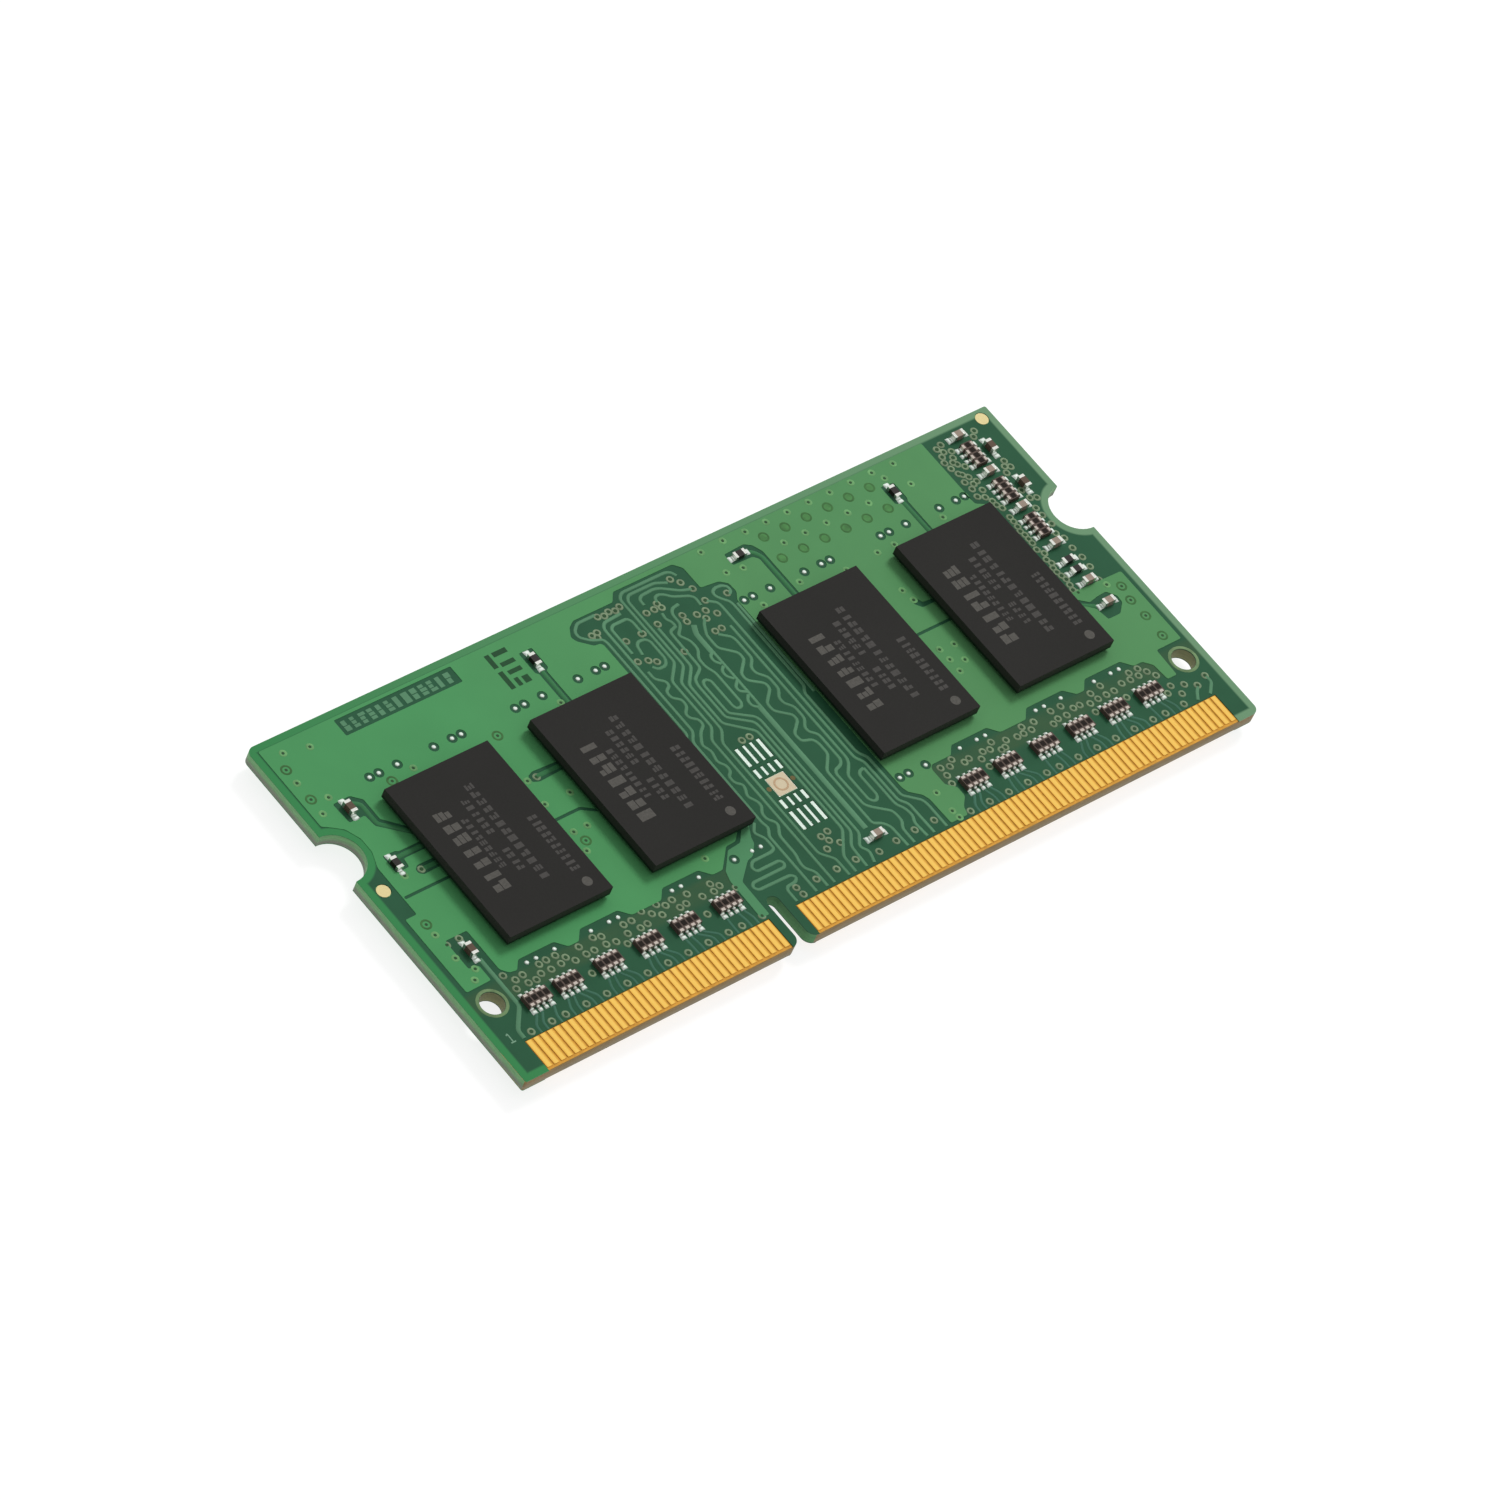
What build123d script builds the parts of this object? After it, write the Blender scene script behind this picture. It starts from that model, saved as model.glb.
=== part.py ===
from build123d import *
import os

# A 204-contact small-outline memory module, single-sided, with four x16 DRAM packages.
# Plan positions are measured in mm from the board's lower left corner: x along the contact
# edge, y up from it. Heights are measured from the lowest face of the back-side capacitors.
# save() moves every part to the module's own frame, with its origin under the board's centre.

# ---- board outline ----
BOARD_LENGTH = 67.6
BOARD_HEIGHT = 30.0
BOARD_THICKNESS = 1.0
ROUNDED_CORNER = 0.6            # upper left and lower right corners
SHARP_CORNER = 0.15             # the other two
HOLE_RADIUS = 0.9
HOLE_INSET_X = 2.0
HOLE_Y = 6.0
NOTCH_RADIUS = 2.0              # latch notches in both short sides
NOTCH_Y = 20.0
KEY_X = 24.8
KEY_WIDTH = 1.0
KEY_DEPTH = 4.0
KEY_MOUTH_RADIUS = 0.75

# ---- board layers ----
MASK = 0.03                     # solder mask over copper
FOIL = 0.035                    # each copper layer
PREPREG = 0.10                  # resin between an outer foil and its inner plane
CORE = BOARD_THICKNESS - 2 * (MASK + 2 * FOIL + PREPREG)
PLANE_SETBACK = 0.5             # inner planes stop short of every cut edge
POUR_SETBACK = 0.9              # outer ground pours stop a little further in
POUR_LOW_Y = 7.3                # the back pour ends above the resistor arrays
PART_CLEARANCE = 1.0            # a pour's opening is this much longer and wider than its part
ANTIPAD_RADIUS = 0.35

# ---- contacts ----
CONTACT_PITCH = 0.6
CONTACT_WIDTH = 0.45
CONTACT_THICKNESS = 0.045
CONTACT_LOW_Y = 0.26
CONTACT_HIGH_Y = 2.55
LEFT_CONTACTS = 36
RIGHT_CONTACTS = 66
LEFT_FIRST_X = 2.3
RIGHT_FIRST_X = 26.3

# ---- DRAM packages ----
DRAM_X = [10.2, 23.0, 43.8, 56.6]
DRAM_Y = 15.85
DRAM_WIDTH = 9.0
DRAM_LENGTH = 13.5
BALL_HEIGHT = 0.30
BALL_RADIUS = 0.225
BALL_PITCH = 0.8
BALL_ROWS = 16
BALL_COLUMNS = [-3.2, -2.4, -1.6, 1.6, 2.4, 3.2]
SUBSTRATE_HEIGHT = 0.20
MOULD_HEIGHT = 0.60
DIE_SIZE = (6.4, 9.2, 0.25)
BOND_SLOT = (0.9, 9.6)          # window in the substrate that the die is bonded through
BOND_CAP = (1.6, 10.4, 0.14)    # moulded strip that seals the window from below

# ---- plated vias with bright caps, one row above and one below each DRAM ----
VIA_RADIUS = 0.17
VIA_DRILL_RADIUS = 0.18
VIA_CLEARANCE = 0.38
VIA_OFFSETS = [-4.0, -3.2, -1.6, 1.6, 3.2, 4.0]
VIA_ROWS_Y = [7.5, 24.35]

# ---- resistor arrays: four resistors in one body, four terminals on each long side ----
ARRAY_LENGTH = 2.0
ARRAY_WIDTH = 1.0
ARRAY_HEIGHT = 0.38
ARRAY_PITCH = 0.5
ARRAY_ELEMENTS = 4
TERMINAL_WIDTH = 0.30
TERMINAL_DEPTH = 0.20
DATA_ARRAY_Y = 4.9
DATA_ARRAY_X = [4.87, 7.60, 11.15, 14.70, 18.00, 21.70, 44.40, 47.60, 51.10, 54.50, 57.85, 61.15]
TERMINATION_X = 63.7
TERMINATION_Y = [26.9, 23.4, 19.9]

# ---- single chip parts: (x, y, quarter turns) ----
CHIP_LENGTH = 1.0
CHIP_WIDTH = 0.5
CHIP_CAP_HEIGHT = 0.5
CHIP_RESISTOR_HEIGHT = 0.35
CHIP_END = 0.22
ALONG_X = 0
ALONG_Y = 1
FRONT_RESISTORS = [
    (3.22, 17.86, ALONG_Y),
    (22.77, 26.94, ALONG_Y),
    (42.00, 27.56, ALONG_X),
    (56.02, 26.88, ALONG_Y),
    (63.67, 16.50, ALONG_X),
    (63.67, 15.56, ALONG_X),
]
FRONT_CAPACITORS = [
    (3.22, 22.87, ALONG_Y),
    (3.25, 9.97, ALONG_Y),
    (34.95, 4.47, ALONG_X),
    (65.30, 26.87, ALONG_Y),
    (65.35, 23.27, ALONG_Y),
    (63.70, 28.70, ALONG_X),
    (63.70, 25.20, ALONG_X),
    (63.75, 21.70, ALONG_X),
    (63.80, 18.07, ALONG_X),
    (63.80, 14.45, ALONG_X),
    (63.80, 12.32, ALONG_X),
]
BACK_CAPACITOR_OFFSETS_X = [-2.8, 0.0, 2.8]
BACK_CAPACITOR_ROWS_Y = [11.4, 20.5]
BULK_LENGTH = 1.6
BULK_WIDTH = 0.8
BULK_HEIGHT = 0.85              # tallest parts on the back: the module rests on them
BULK_END = 0.35
BULK_X = [5.0, 33.4, 62.6]
BULK_Y = [9.2, 27.0]

# ---- presence-detect memory on the back ----
EEPROM_X = 33.4
EEPROM_Y = 17.5
EEPROM_SIZE = (2.0, 3.0, 0.70)
EEPROM_PAD = (0.25, 0.45, 0.05)
EEPROM_PITCH = 0.5
EEPROM_PADS_PER_SIDE = 4

# ---- bare pads ----
FIDUCIAL_RADIUS = 0.5
FIDUCIALS = [(1.15, 16.55), (66.6, 29.2)]
FIDUCIAL_CLEARANCE = 0.75
BARE_PAD = 0.05                 # thickness of a tinned or gilded pad that carries no part
SPARE_X = 31.8
SPARE_Y = 10.93
SPARE_COLUMNS = [-0.95, -0.30, 0.30, 0.95]
SPARE_OUTER_PAD = (0.30, 1.60)
SPARE_OUTER_OFFSET = 2.92
SPARE_INNER_PAD = (0.28, 0.75)
SPARE_INNER_OFFSET = 1.40
SPARE_THERMAL_PAD = (1.65, 1.60)
MASK_EXPANSION = 0.05           # the mask's openings are this much larger than their pads

# ---- heights of the faces between layers ----
BACK_FACE = BULK_HEIGHT
FRONT_FACE = BACK_FACE + BOARD_THICKNESS
BACK_FOIL_LOW = BACK_FACE + MASK
BACK_PREPREG_LOW = BACK_FOIL_LOW + FOIL
POWER_PLANE_LOW = BACK_PREPREG_LOW + PREPREG
CORE_LOW = POWER_PLANE_LOW + FOIL
CORE_HIGH = CORE_LOW + CORE
GROUND_PLANE_HIGH = CORE_HIGH + FOIL
FRONT_FOIL_LOW = GROUND_PLANE_HIGH + PREPREG
OUTER_LAYER = FOIL + MASK


def save(name, solids):
    """Move a node's solids to the module's frame and write them to parts/NAME.step."""
    group = Compound(children=list(solids)) if len(solids) > 1 else solids[0]
    export_step(Pos(-BOARD_LENGTH / 2, -BOARD_HEIGHT / 2, 0) * group, f"parts/{name}.step")


def block(x, y, low, size_x, size_y, height):
    """A box centred on (x, y) that stands on the height low."""
    box = Box(size_x, size_y, height, align=(Align.CENTER, Align.CENTER, Align.MIN))
    return Pos(x, y, low) * box


def slab(outline, low, thickness):
    """A flat plate of the given outline, from the height low upwards."""
    return Pos(0, 0, low) * extrude(outline, thickness, dir=(0, 0, 1))


def pad(x, y, size_x, size_y):
    return Pos(x, y) * Rectangle(size_x, size_y)


def disc(x, y, radius):
    return Pos(x, y) * Circle(radius)


# ---- board outline and openings ----
def hole_centres():
    return [(HOLE_INSET_X, HOLE_Y), (BOARD_LENGTH - HOLE_INSET_X, HOLE_Y)]


def via_centres():
    return [(x + dx, y) for x in DRAM_X for dx in VIA_OFFSETS for y in VIA_ROWS_Y]


def is_left(vertex):
    return vertex.X < BOARD_LENGTH / 2


def is_low(vertex):
    return vertex.Y < BOARD_HEIGHT / 2


def rounded_plate(setback):
    """The board's rectangle, drawn in by setback, with its two pairs of unlike corners."""
    plate = Rectangle(BOARD_LENGTH - 2 * setback, BOARD_HEIGHT - 2 * setback)
    plate = Pos(BOARD_LENGTH / 2, BOARD_HEIGHT / 2) * plate
    rounded = fillet([v for v in plate.vertices() if is_left(v) != is_low(v)], ROUNDED_CORNER)
    sharp_ones = [v for v in rounded.vertices() if is_left(v) == is_low(v)]
    return fillet(sharp_ones, SHARP_CORNER)


def key_slot(setback):
    """The key: a round-topped slot open at the contact edge, with rounded mouth corners."""
    half = KEY_WIDTH / 2 + setback
    top = KEY_DEPTH + setback - half
    slot = Pos(KEY_X, top / 2) * Rectangle(2 * half, top) + disc(KEY_X, top, half)
    if setback > 0:
        return slot
    mouth_width = 2 * (half + KEY_MOUTH_RADIUS)
    mouth = Pos(KEY_X, KEY_MOUTH_RADIUS / 2) * Rectangle(mouth_width, KEY_MOUTH_RADIUS)
    for side in (-1, 1):
        mouth -= disc(KEY_X + side * (half + KEY_MOUTH_RADIUS), KEY_MOUTH_RADIUS, KEY_MOUTH_RADIUS)
    return slot + mouth


def board_outline(setback=0.0):
    """The whole outline, with every cut edge drawn in by setback."""
    outline = rounded_plate(setback) - key_slot(setback)
    for x in (0, BOARD_LENGTH):
        outline -= disc(x, NOTCH_Y, NOTCH_RADIUS + setback)
    for x, y in hole_centres():
        outline -= disc(x, y, HOLE_RADIUS + setback)
    return outline


def drilled(outline, radius):
    """The outline with a round hole at every plated via."""
    return outline - [disc(x, y, radius) for x, y in via_centres()]


# ---- where the small parts stand ----
def turned(x, y, dx, dy, quarter_turns):
    """The point (dx, dy) from (x, y), on a part turned by 0 or 90 degrees."""
    return (x - dy, y + dx) if quarter_turns else (x + dx, y + dy)


def array_positions():
    """Where the terminals stand along one side of an array, from its centre."""
    first = -ARRAY_PITCH * (ARRAY_ELEMENTS - 1) / 2
    return [first + ARRAY_PITCH * i for i in range(ARRAY_ELEMENTS)]


def back_capacitor_places():
    return [(x + dx, y, ALONG_X) for x in DRAM_X for dx in BACK_CAPACITOR_OFFSETS_X
            for y in BACK_CAPACITOR_ROWS_Y]


def bulk_places():
    return [(x, y, ALONG_X) for x in BULK_X for y in BULK_Y]


def eeprom_pads():
    first = -EEPROM_PITCH * (EEPROM_PADS_PER_SIDE - 1) / 2
    across = EEPROM_SIZE[1] / 2 - EEPROM_PAD[1] / 2
    return [(EEPROM_X + first + EEPROM_PITCH * i, EEPROM_Y + side * across)
            for i in range(EEPROM_PADS_PER_SIDE) for side in (-1, 1)]


# ---- bare pads and the mask's openings ----
def spare_rows():
    """Each row of the empty footprint: how far it is from the centre, and its pads' size."""
    return [(side * offset, size) for side in (-1, 1)
            for offset, size in ((SPARE_OUTER_OFFSET, SPARE_OUTER_PAD), (SPARE_INNER_OFFSET, SPARE_INNER_PAD))]


def spare_pads():
    """Pads for a second presence-detect chip, which this module leaves off the front."""
    pads = [pad(SPARE_X, SPARE_Y, *SPARE_THERMAL_PAD)]
    for dy, size in spare_rows():
        pads += [pad(SPARE_X + dx, SPARE_Y + dy, *size) for dx in SPARE_COLUMNS]
    return pads


def spare_windows():
    """One opening in the mask for each row of the empty footprint, and one in its middle."""
    margin = 2 * MASK_EXPANSION
    row_width = SPARE_COLUMNS[-1] - SPARE_COLUMNS[0] + SPARE_OUTER_PAD[0] + margin
    windows = [pad(SPARE_X, SPARE_Y, SPARE_THERMAL_PAD[0] + margin, SPARE_THERMAL_PAD[1] + margin)]
    windows += [pad(SPARE_X, SPARE_Y + dy, row_width, size[1] + margin) for dy, size in spare_rows()]
    return windows


def contact_windows():
    """The two strips along the contact edge that the solder mask leaves open."""
    windows = []
    height = CONTACT_HIGH_Y + MASK_EXPANSION
    for first, count in ((LEFT_FIRST_X, LEFT_CONTACTS), (RIGHT_FIRST_X, RIGHT_CONTACTS)):
        centre = first + (count - 1) * CONTACT_PITCH / 2
        windows.append(pad(centre, height / 2, count * CONTACT_PITCH, height))
    return windows


# ---- ground pours on the outer layers ----
def front_pours():
    """Two large ground pours, parted by the address lines that run down the middle."""
    left = Polygon(
        (0.9, 29.4), (31.2, 29.4), (30.9, 28.3), (27.4, 28.3), (26.5, 27.3), (27.5, 26.1),
        (28.1, 26.0), (28.1, 8.4), (24.2, 6.6), (23.3, 7.8), (5.9, 7.9), (5.5, 7.4),
        (4.2, 8.0), (4.2, 12.6), (2.2, 12.6), (2.2, 17.2), (2.9, 20.0), (1.9, 22.2), (0.9, 22.8),
        align=None)
    right = Polygon(
        (39.3, 24.6), (39.8, 26.2), (37.6, 26.5), (37.6, 29.4), (60.9, 29.4), (60.9, 23.4),
        (62.0, 22.8), (62.0, 14.0), (66.6, 14.0), (66.6, 7.6), (42.2, 7.9), (39.3, 8.4),
        align=None)
    for x, y, quarter_turns in FRONT_RESISTORS + FRONT_CAPACITORS:
        long_side = CHIP_LENGTH + PART_CLEARANCE
        wide_side = CHIP_WIDTH + PART_CLEARANCE
        size = (wide_side, long_side) if quarter_turns else (long_side, wide_side)
        left -= pad(x, y, *size)
        right -= pad(x, y, *size)
    inside = board_outline(POUR_SETBACK)
    vias = [disc(x, y, VIA_CLEARANCE) for x, y in via_centres()]
    return [(left & inside) - vias, (right & inside) - vias]


def back_pour():
    """One ground pour over the back, open around every pad, via and contact."""
    pour = board_outline(POUR_SETBACK)
    pour -= Pos(BOARD_LENGTH / 2, 0) * Rectangle(BOARD_LENGTH, 2 * POUR_LOW_Y)
    for x, y, _ in bulk_places():
        pour -= pad(x, y, BULK_LENGTH + PART_CLEARANCE, BULK_WIDTH + PART_CLEARANCE)
    pour -= pad(EEPROM_X, EEPROM_Y, EEPROM_SIZE[0] + PART_CLEARANCE, EEPROM_SIZE[1] + PART_CLEARANCE)
    return pour - [disc(x, y, VIA_CLEARANCE) for x, y in via_centres()]


# ---- board layers ----
def contact_group(first_x, count, low):
    height = CONTACT_HIGH_Y - CONTACT_LOW_Y
    centre_y = CONTACT_LOW_Y + height / 2
    return [block(first_x + i * CONTACT_PITCH, centre_y, low, CONTACT_WIDTH, height, CONTACT_THICKNESS)
            for i in range(count)]


def make_laminates():
    drilled_outline = drilled(board_outline(), VIA_DRILL_RADIUS)
    plane_outline = drilled(board_outline(PLANE_SETBACK), ANTIPAD_RADIUS)
    power_plane = slab(plane_outline, POWER_PLANE_LOW, FOIL)
    ground_plane = slab(plane_outline, CORE_HIGH, FOIL)
    save("core_laminate", [slab(drilled_outline, CORE_LOW, CORE)])
    save("power_plane", [power_plane])
    save("ground_plane", [ground_plane])
    save("prepreg_back", [slab(drilled_outline, BACK_PREPREG_LOW, PREPREG + FOIL) - power_plane])
    save("prepreg_front", [slab(drilled_outline, CORE_HIGH, FOIL + PREPREG) - ground_plane])


def make_outer_layer(side, pours, openings, pour_low, layer_low):
    """One outer face: the copper pours, and the mask that covers them and fills between."""
    pour_solids = [slab(pour, pour_low, FOIL) for pour in pours]
    save(f"copper_pour_{side}", pour_solids)
    mask = slab(drilled(board_outline(), VIA_DRILL_RADIUS) - openings, layer_low, OUTER_LAYER)
    for pour in pour_solids:
        mask -= pour
    save(f"solder_mask_{side}", mask.solids())


def make_front_layer():
    openings = [disc(x, y, FIDUCIAL_RADIUS + MASK_EXPANSION) for x, y in FIDUCIALS]
    openings += spare_windows() + contact_windows()
    clear = [disc(x, y, FIDUCIAL_CLEARANCE) for x, y in FIDUCIALS]
    pours = [pour - clear for pour in front_pours()]
    make_outer_layer("front", pours, openings, FRONT_FOIL_LOW, FRONT_FOIL_LOW)
    fiducials = [disc(x, y, FIDUCIAL_RADIUS) for x, y in FIDUCIALS]
    save("fiducial_pads", [slab(shape, FRONT_FOIL_LOW, BARE_PAD) for shape in fiducials])
    save("spare_footprint_pads", [slab(shape, FRONT_FOIL_LOW, BARE_PAD) for shape in spare_pads()])
    save("contacts_front_left", contact_group(LEFT_FIRST_X, LEFT_CONTACTS, FRONT_FOIL_LOW))
    save("contacts_front_right", contact_group(RIGHT_FIRST_X, RIGHT_CONTACTS, FRONT_FOIL_LOW))


def make_back_layer():
    make_outer_layer("back", [back_pour()], contact_windows(), BACK_FOIL_LOW, BACK_FACE)
    low = BACK_PREPREG_LOW - CONTACT_THICKNESS
    save("contacts_back_left", contact_group(LEFT_FIRST_X, LEFT_CONTACTS, low))
    save("contacts_back_right", contact_group(RIGHT_FIRST_X, RIGHT_CONTACTS, low))


def make_vias():
    barrel = Cylinder(VIA_RADIUS, BOARD_THICKNESS, align=(Align.CENTER, Align.CENTER, Align.MIN))
    save("plated_vias", [Pos(x, y, BACK_FACE) * barrel for x, y in via_centres()])


# ---- DRAM packages ----
def make_dram(number, x):
    """A board-on-chip package: balls, substrate, face-down die and the mould over them."""
    ball_low = FRONT_FACE
    substrate_low = ball_low + BALL_HEIGHT
    die_low = substrate_low + SUBSTRATE_HEIGHT
    ball = Sphere(BALL_RADIUS) & Box(2 * BALL_RADIUS, 2 * BALL_RADIUS, BALL_HEIGHT)
    first_row = DRAM_Y - BALL_PITCH * (BALL_ROWS - 1) / 2
    balls = [Pos(x + dx, first_row + row * BALL_PITCH, ball_low + BALL_HEIGHT / 2) * ball
             for dx in BALL_COLUMNS for row in range(BALL_ROWS)]
    substrate = block(x, DRAM_Y, substrate_low, DRAM_WIDTH, DRAM_LENGTH, SUBSTRATE_HEIGHT)
    slot = block(x, DRAM_Y, substrate_low, *BOND_SLOT, SUBSTRATE_HEIGHT)
    die = block(x, DRAM_Y, die_low, *DIE_SIZE)
    bond_cap = block(x, DRAM_Y, substrate_low - BOND_CAP[2], *BOND_CAP)
    mould = block(x, DRAM_Y, die_low, DRAM_WIDTH, DRAM_LENGTH, MOULD_HEIGHT) - die
    save(f"dram_{number}_balls", balls)
    save(f"dram_{number}_substrate", [substrate - slot])
    save(f"dram_{number}_die", [die])
    save(f"dram_{number}_mould", (mould + [slot + bond_cap]).solids())


# ---- chip parts ----
def array_body(x, y, low, quarter_turns):
    """An array's ceramic body, with a scallop for each terminal."""
    size = (ARRAY_WIDTH, ARRAY_LENGTH) if quarter_turns else (ARRAY_LENGTH, ARRAY_WIDTH)
    body = block(x, y, low, *size, ARRAY_HEIGHT)
    return body - array_terminals(x, y, low, quarter_turns)


def array_terminals(x, y, low, quarter_turns):
    across = (ARRAY_WIDTH - TERMINAL_DEPTH) / 2
    terminals = []
    for along in array_positions():
        for side in (-1, 1):
            tx, ty = turned(x, y, along, side * across, quarter_turns)
            size = (TERMINAL_DEPTH, TERMINAL_WIDTH) if quarter_turns else (TERMINAL_WIDTH, TERMINAL_DEPTH)
            terminals.append(block(tx, ty, low, *size, ARRAY_HEIGHT))
    return terminals


def chip_body(x, y, low, quarter_turns, length, width, height, end):
    inner = length - 2 * end
    size = (width, inner) if quarter_turns else (inner, width)
    return block(x, y, low, *size, height)


def chip_terminals(x, y, low, quarter_turns, length, width, height, end):
    terminals = []
    for side in (-1, 1):
        tx, ty = turned(x, y, side * (length - end) / 2, 0, quarter_turns)
        size = (width, end) if quarter_turns else (end, width)
        terminals.append(block(tx, ty, low, *size, height))
    return terminals


def make_resistor_arrays():
    front_terminals = []
    back_low = BACK_FACE - ARRAY_HEIGHT
    for number, x in enumerate(DATA_ARRAY_X, start=1):
        save(f"data_resistor_array_{number:02d}", [array_body(x, DATA_ARRAY_Y, FRONT_FACE, ALONG_X)])
        front_terminals += array_terminals(x, DATA_ARRAY_Y, FRONT_FACE, ALONG_X)
    for number, y in enumerate(TERMINATION_Y, start=1):
        save(f"termination_array_{number}", [array_body(TERMINATION_X, y, FRONT_FACE, ALONG_Y)])
        front_terminals += array_terminals(TERMINATION_X, y, FRONT_FACE, ALONG_Y)
    save("array_terminals_front", front_terminals)
    back_bodies = [array_body(x, DATA_ARRAY_Y, back_low, ALONG_X) for x in DATA_ARRAY_X]
    save("data_resistor_arrays_back", back_bodies)
    back_terminals = []
    for x in DATA_ARRAY_X:
        back_terminals += array_terminals(x, DATA_ARRAY_Y, back_low, ALONG_X)
    save("array_terminals_back", back_terminals)


def make_chips(bodies_name, terminals_name, places, low, length, width, height, end):
    bodies = []
    terminals = []
    for x, y, quarter_turns in places:
        bodies.append(chip_body(x, y, low, quarter_turns, length, width, height, end))
        terminals += chip_terminals(x, y, low, quarter_turns, length, width, height, end)
    save(bodies_name, bodies)
    save(terminals_name, terminals)


def make_all_chips():
    make_chips("chip_resistor_bodies", "chip_resistor_terminals", FRONT_RESISTORS, FRONT_FACE,
               CHIP_LENGTH, CHIP_WIDTH, CHIP_RESISTOR_HEIGHT, CHIP_END)
    make_chips("chip_capacitor_bodies_front", "chip_capacitor_terminals_front", FRONT_CAPACITORS,
               FRONT_FACE, CHIP_LENGTH, CHIP_WIDTH, CHIP_CAP_HEIGHT, CHIP_END)
    make_chips("chip_capacitor_bodies_back", "chip_capacitor_terminals_back", back_capacitor_places(),
               BACK_FACE - CHIP_CAP_HEIGHT, CHIP_LENGTH, CHIP_WIDTH, CHIP_CAP_HEIGHT, CHIP_END)
    make_chips("bulk_capacitor_bodies", "bulk_capacitor_terminals", bulk_places(),
               BACK_FACE - BULK_HEIGHT, BULK_LENGTH, BULK_WIDTH, BULK_HEIGHT, BULK_END)


def make_eeprom():
    """The presence-detect memory: a flat leadless body with its pads along two edges."""
    pad_low = BACK_FACE - EEPROM_PAD[2]
    pads = [block(x, y, pad_low, *EEPROM_PAD) for x, y in eeprom_pads()]
    body_height = EEPROM_SIZE[2] - EEPROM_PAD[2]
    body = block(EEPROM_X, EEPROM_Y, pad_low - body_height, EEPROM_SIZE[0], EEPROM_SIZE[1], body_height)
    save("spd_eeprom_pads", pads)
    save("spd_eeprom_body", [body])


def main():
    os.makedirs("parts", exist_ok=True)
    make_laminates()
    make_front_layer()
    make_back_layer()
    make_vias()
    for number, x in enumerate(DRAM_X, start=1):
        make_dram(number, x)
    make_resistor_arrays()
    make_all_chips()
    make_eeprom()


main()
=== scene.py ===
import math
import random

import bmesh
import bpy
from mathutils import Matrix, Vector


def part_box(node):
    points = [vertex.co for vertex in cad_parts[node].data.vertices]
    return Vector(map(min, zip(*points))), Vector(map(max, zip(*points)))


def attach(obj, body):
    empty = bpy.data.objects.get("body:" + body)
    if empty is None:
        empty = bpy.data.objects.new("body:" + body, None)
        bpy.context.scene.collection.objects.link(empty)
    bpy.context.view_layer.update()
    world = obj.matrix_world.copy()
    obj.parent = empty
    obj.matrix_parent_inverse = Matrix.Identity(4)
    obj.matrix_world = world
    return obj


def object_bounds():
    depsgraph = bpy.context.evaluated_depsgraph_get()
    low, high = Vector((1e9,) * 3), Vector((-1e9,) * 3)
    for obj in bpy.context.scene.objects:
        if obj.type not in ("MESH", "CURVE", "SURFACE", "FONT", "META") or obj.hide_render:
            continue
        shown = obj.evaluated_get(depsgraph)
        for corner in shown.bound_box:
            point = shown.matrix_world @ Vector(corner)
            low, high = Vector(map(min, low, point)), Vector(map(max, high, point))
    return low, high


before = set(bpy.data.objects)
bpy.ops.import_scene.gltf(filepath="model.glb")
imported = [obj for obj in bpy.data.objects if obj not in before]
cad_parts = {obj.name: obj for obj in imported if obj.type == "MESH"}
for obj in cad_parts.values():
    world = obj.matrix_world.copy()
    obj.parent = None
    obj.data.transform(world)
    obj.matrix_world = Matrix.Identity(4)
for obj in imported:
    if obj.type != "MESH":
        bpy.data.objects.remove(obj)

CAD_LOW, CAD_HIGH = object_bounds()

# ---------------------------------------------------------------- the board's own measures, in mm
# Plan positions are in mm from the board's lower left corner, as in the CAD model.
MM = 0.001
BOARD_LENGTH = 67.6
BOARD_HEIGHT = 30.0
HALF_LENGTH = BOARD_LENGTH / 2
HALF_HEIGHT = BOARD_HEIGHT / 2
HOLES = [(2.0, 6.0), (65.6, 6.0)]
HOLE_RADIUS = 0.9
NOTCH_RADIUS = 2.0
NOTCH_Y = 20.0
KEY_X = 24.8
CONTACT_START = 2.3
CONTACT_PITCH = 0.6
CONTACT_TOP_Y = 2.55
LEFT_CONTACTS = 36
SKIPPED_CONTACTS = 4            # pitches that the key slot takes
RIGHT_CONTACTS = 66
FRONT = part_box("solder_mask_front")[1].z / MM
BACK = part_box("solder_mask_back")[0].z / MM
DRAM_BOXES = [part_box(f"dram_{n}_mould") for n in range(1, 5)]
DRAM_X = [(low.x + high.x) / 2 / MM + HALF_LENGTH for low, high in DRAM_BOXES]
DRAM_Y = (DRAM_BOXES[0][0].y + DRAM_BOXES[0][1].y) / 2 / MM + HALF_HEIGHT
DRAM_TOP = DRAM_BOXES[0][1].z / MM
ARRAY_BOXES = [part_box(f"data_resistor_array_{n:02d}") for n in range(1, 13)]
ARRAY_X = [(low.x + high.x) / 2 / MM + HALF_LENGTH for low, high in ARRAY_BOXES]
ARRAY_Y = (ARRAY_BOXES[0][0].y + ARRAY_BOXES[0][1].y) / 2 / MM + HALF_HEIGHT
ARRAY_HALF_WIDTH = 0.5
ARRAY_HEIGHT = 0.38
ARRAY_PITCH = 0.5
TERMINATION_X = 63.7
TERMINATION_Y = [26.9, 23.4, 19.9]
VIA_OFFSETS = [-4.0, -3.2, -1.6, 1.6, 3.2, 4.0]
VIA_ROWS_Y = [7.5, 24.35]
CLUSTER_Y = 6.4                 # middle of the crowded band of vias
CHANNEL_X = 33.1                # middle of the channel between packages 2 and 3
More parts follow.
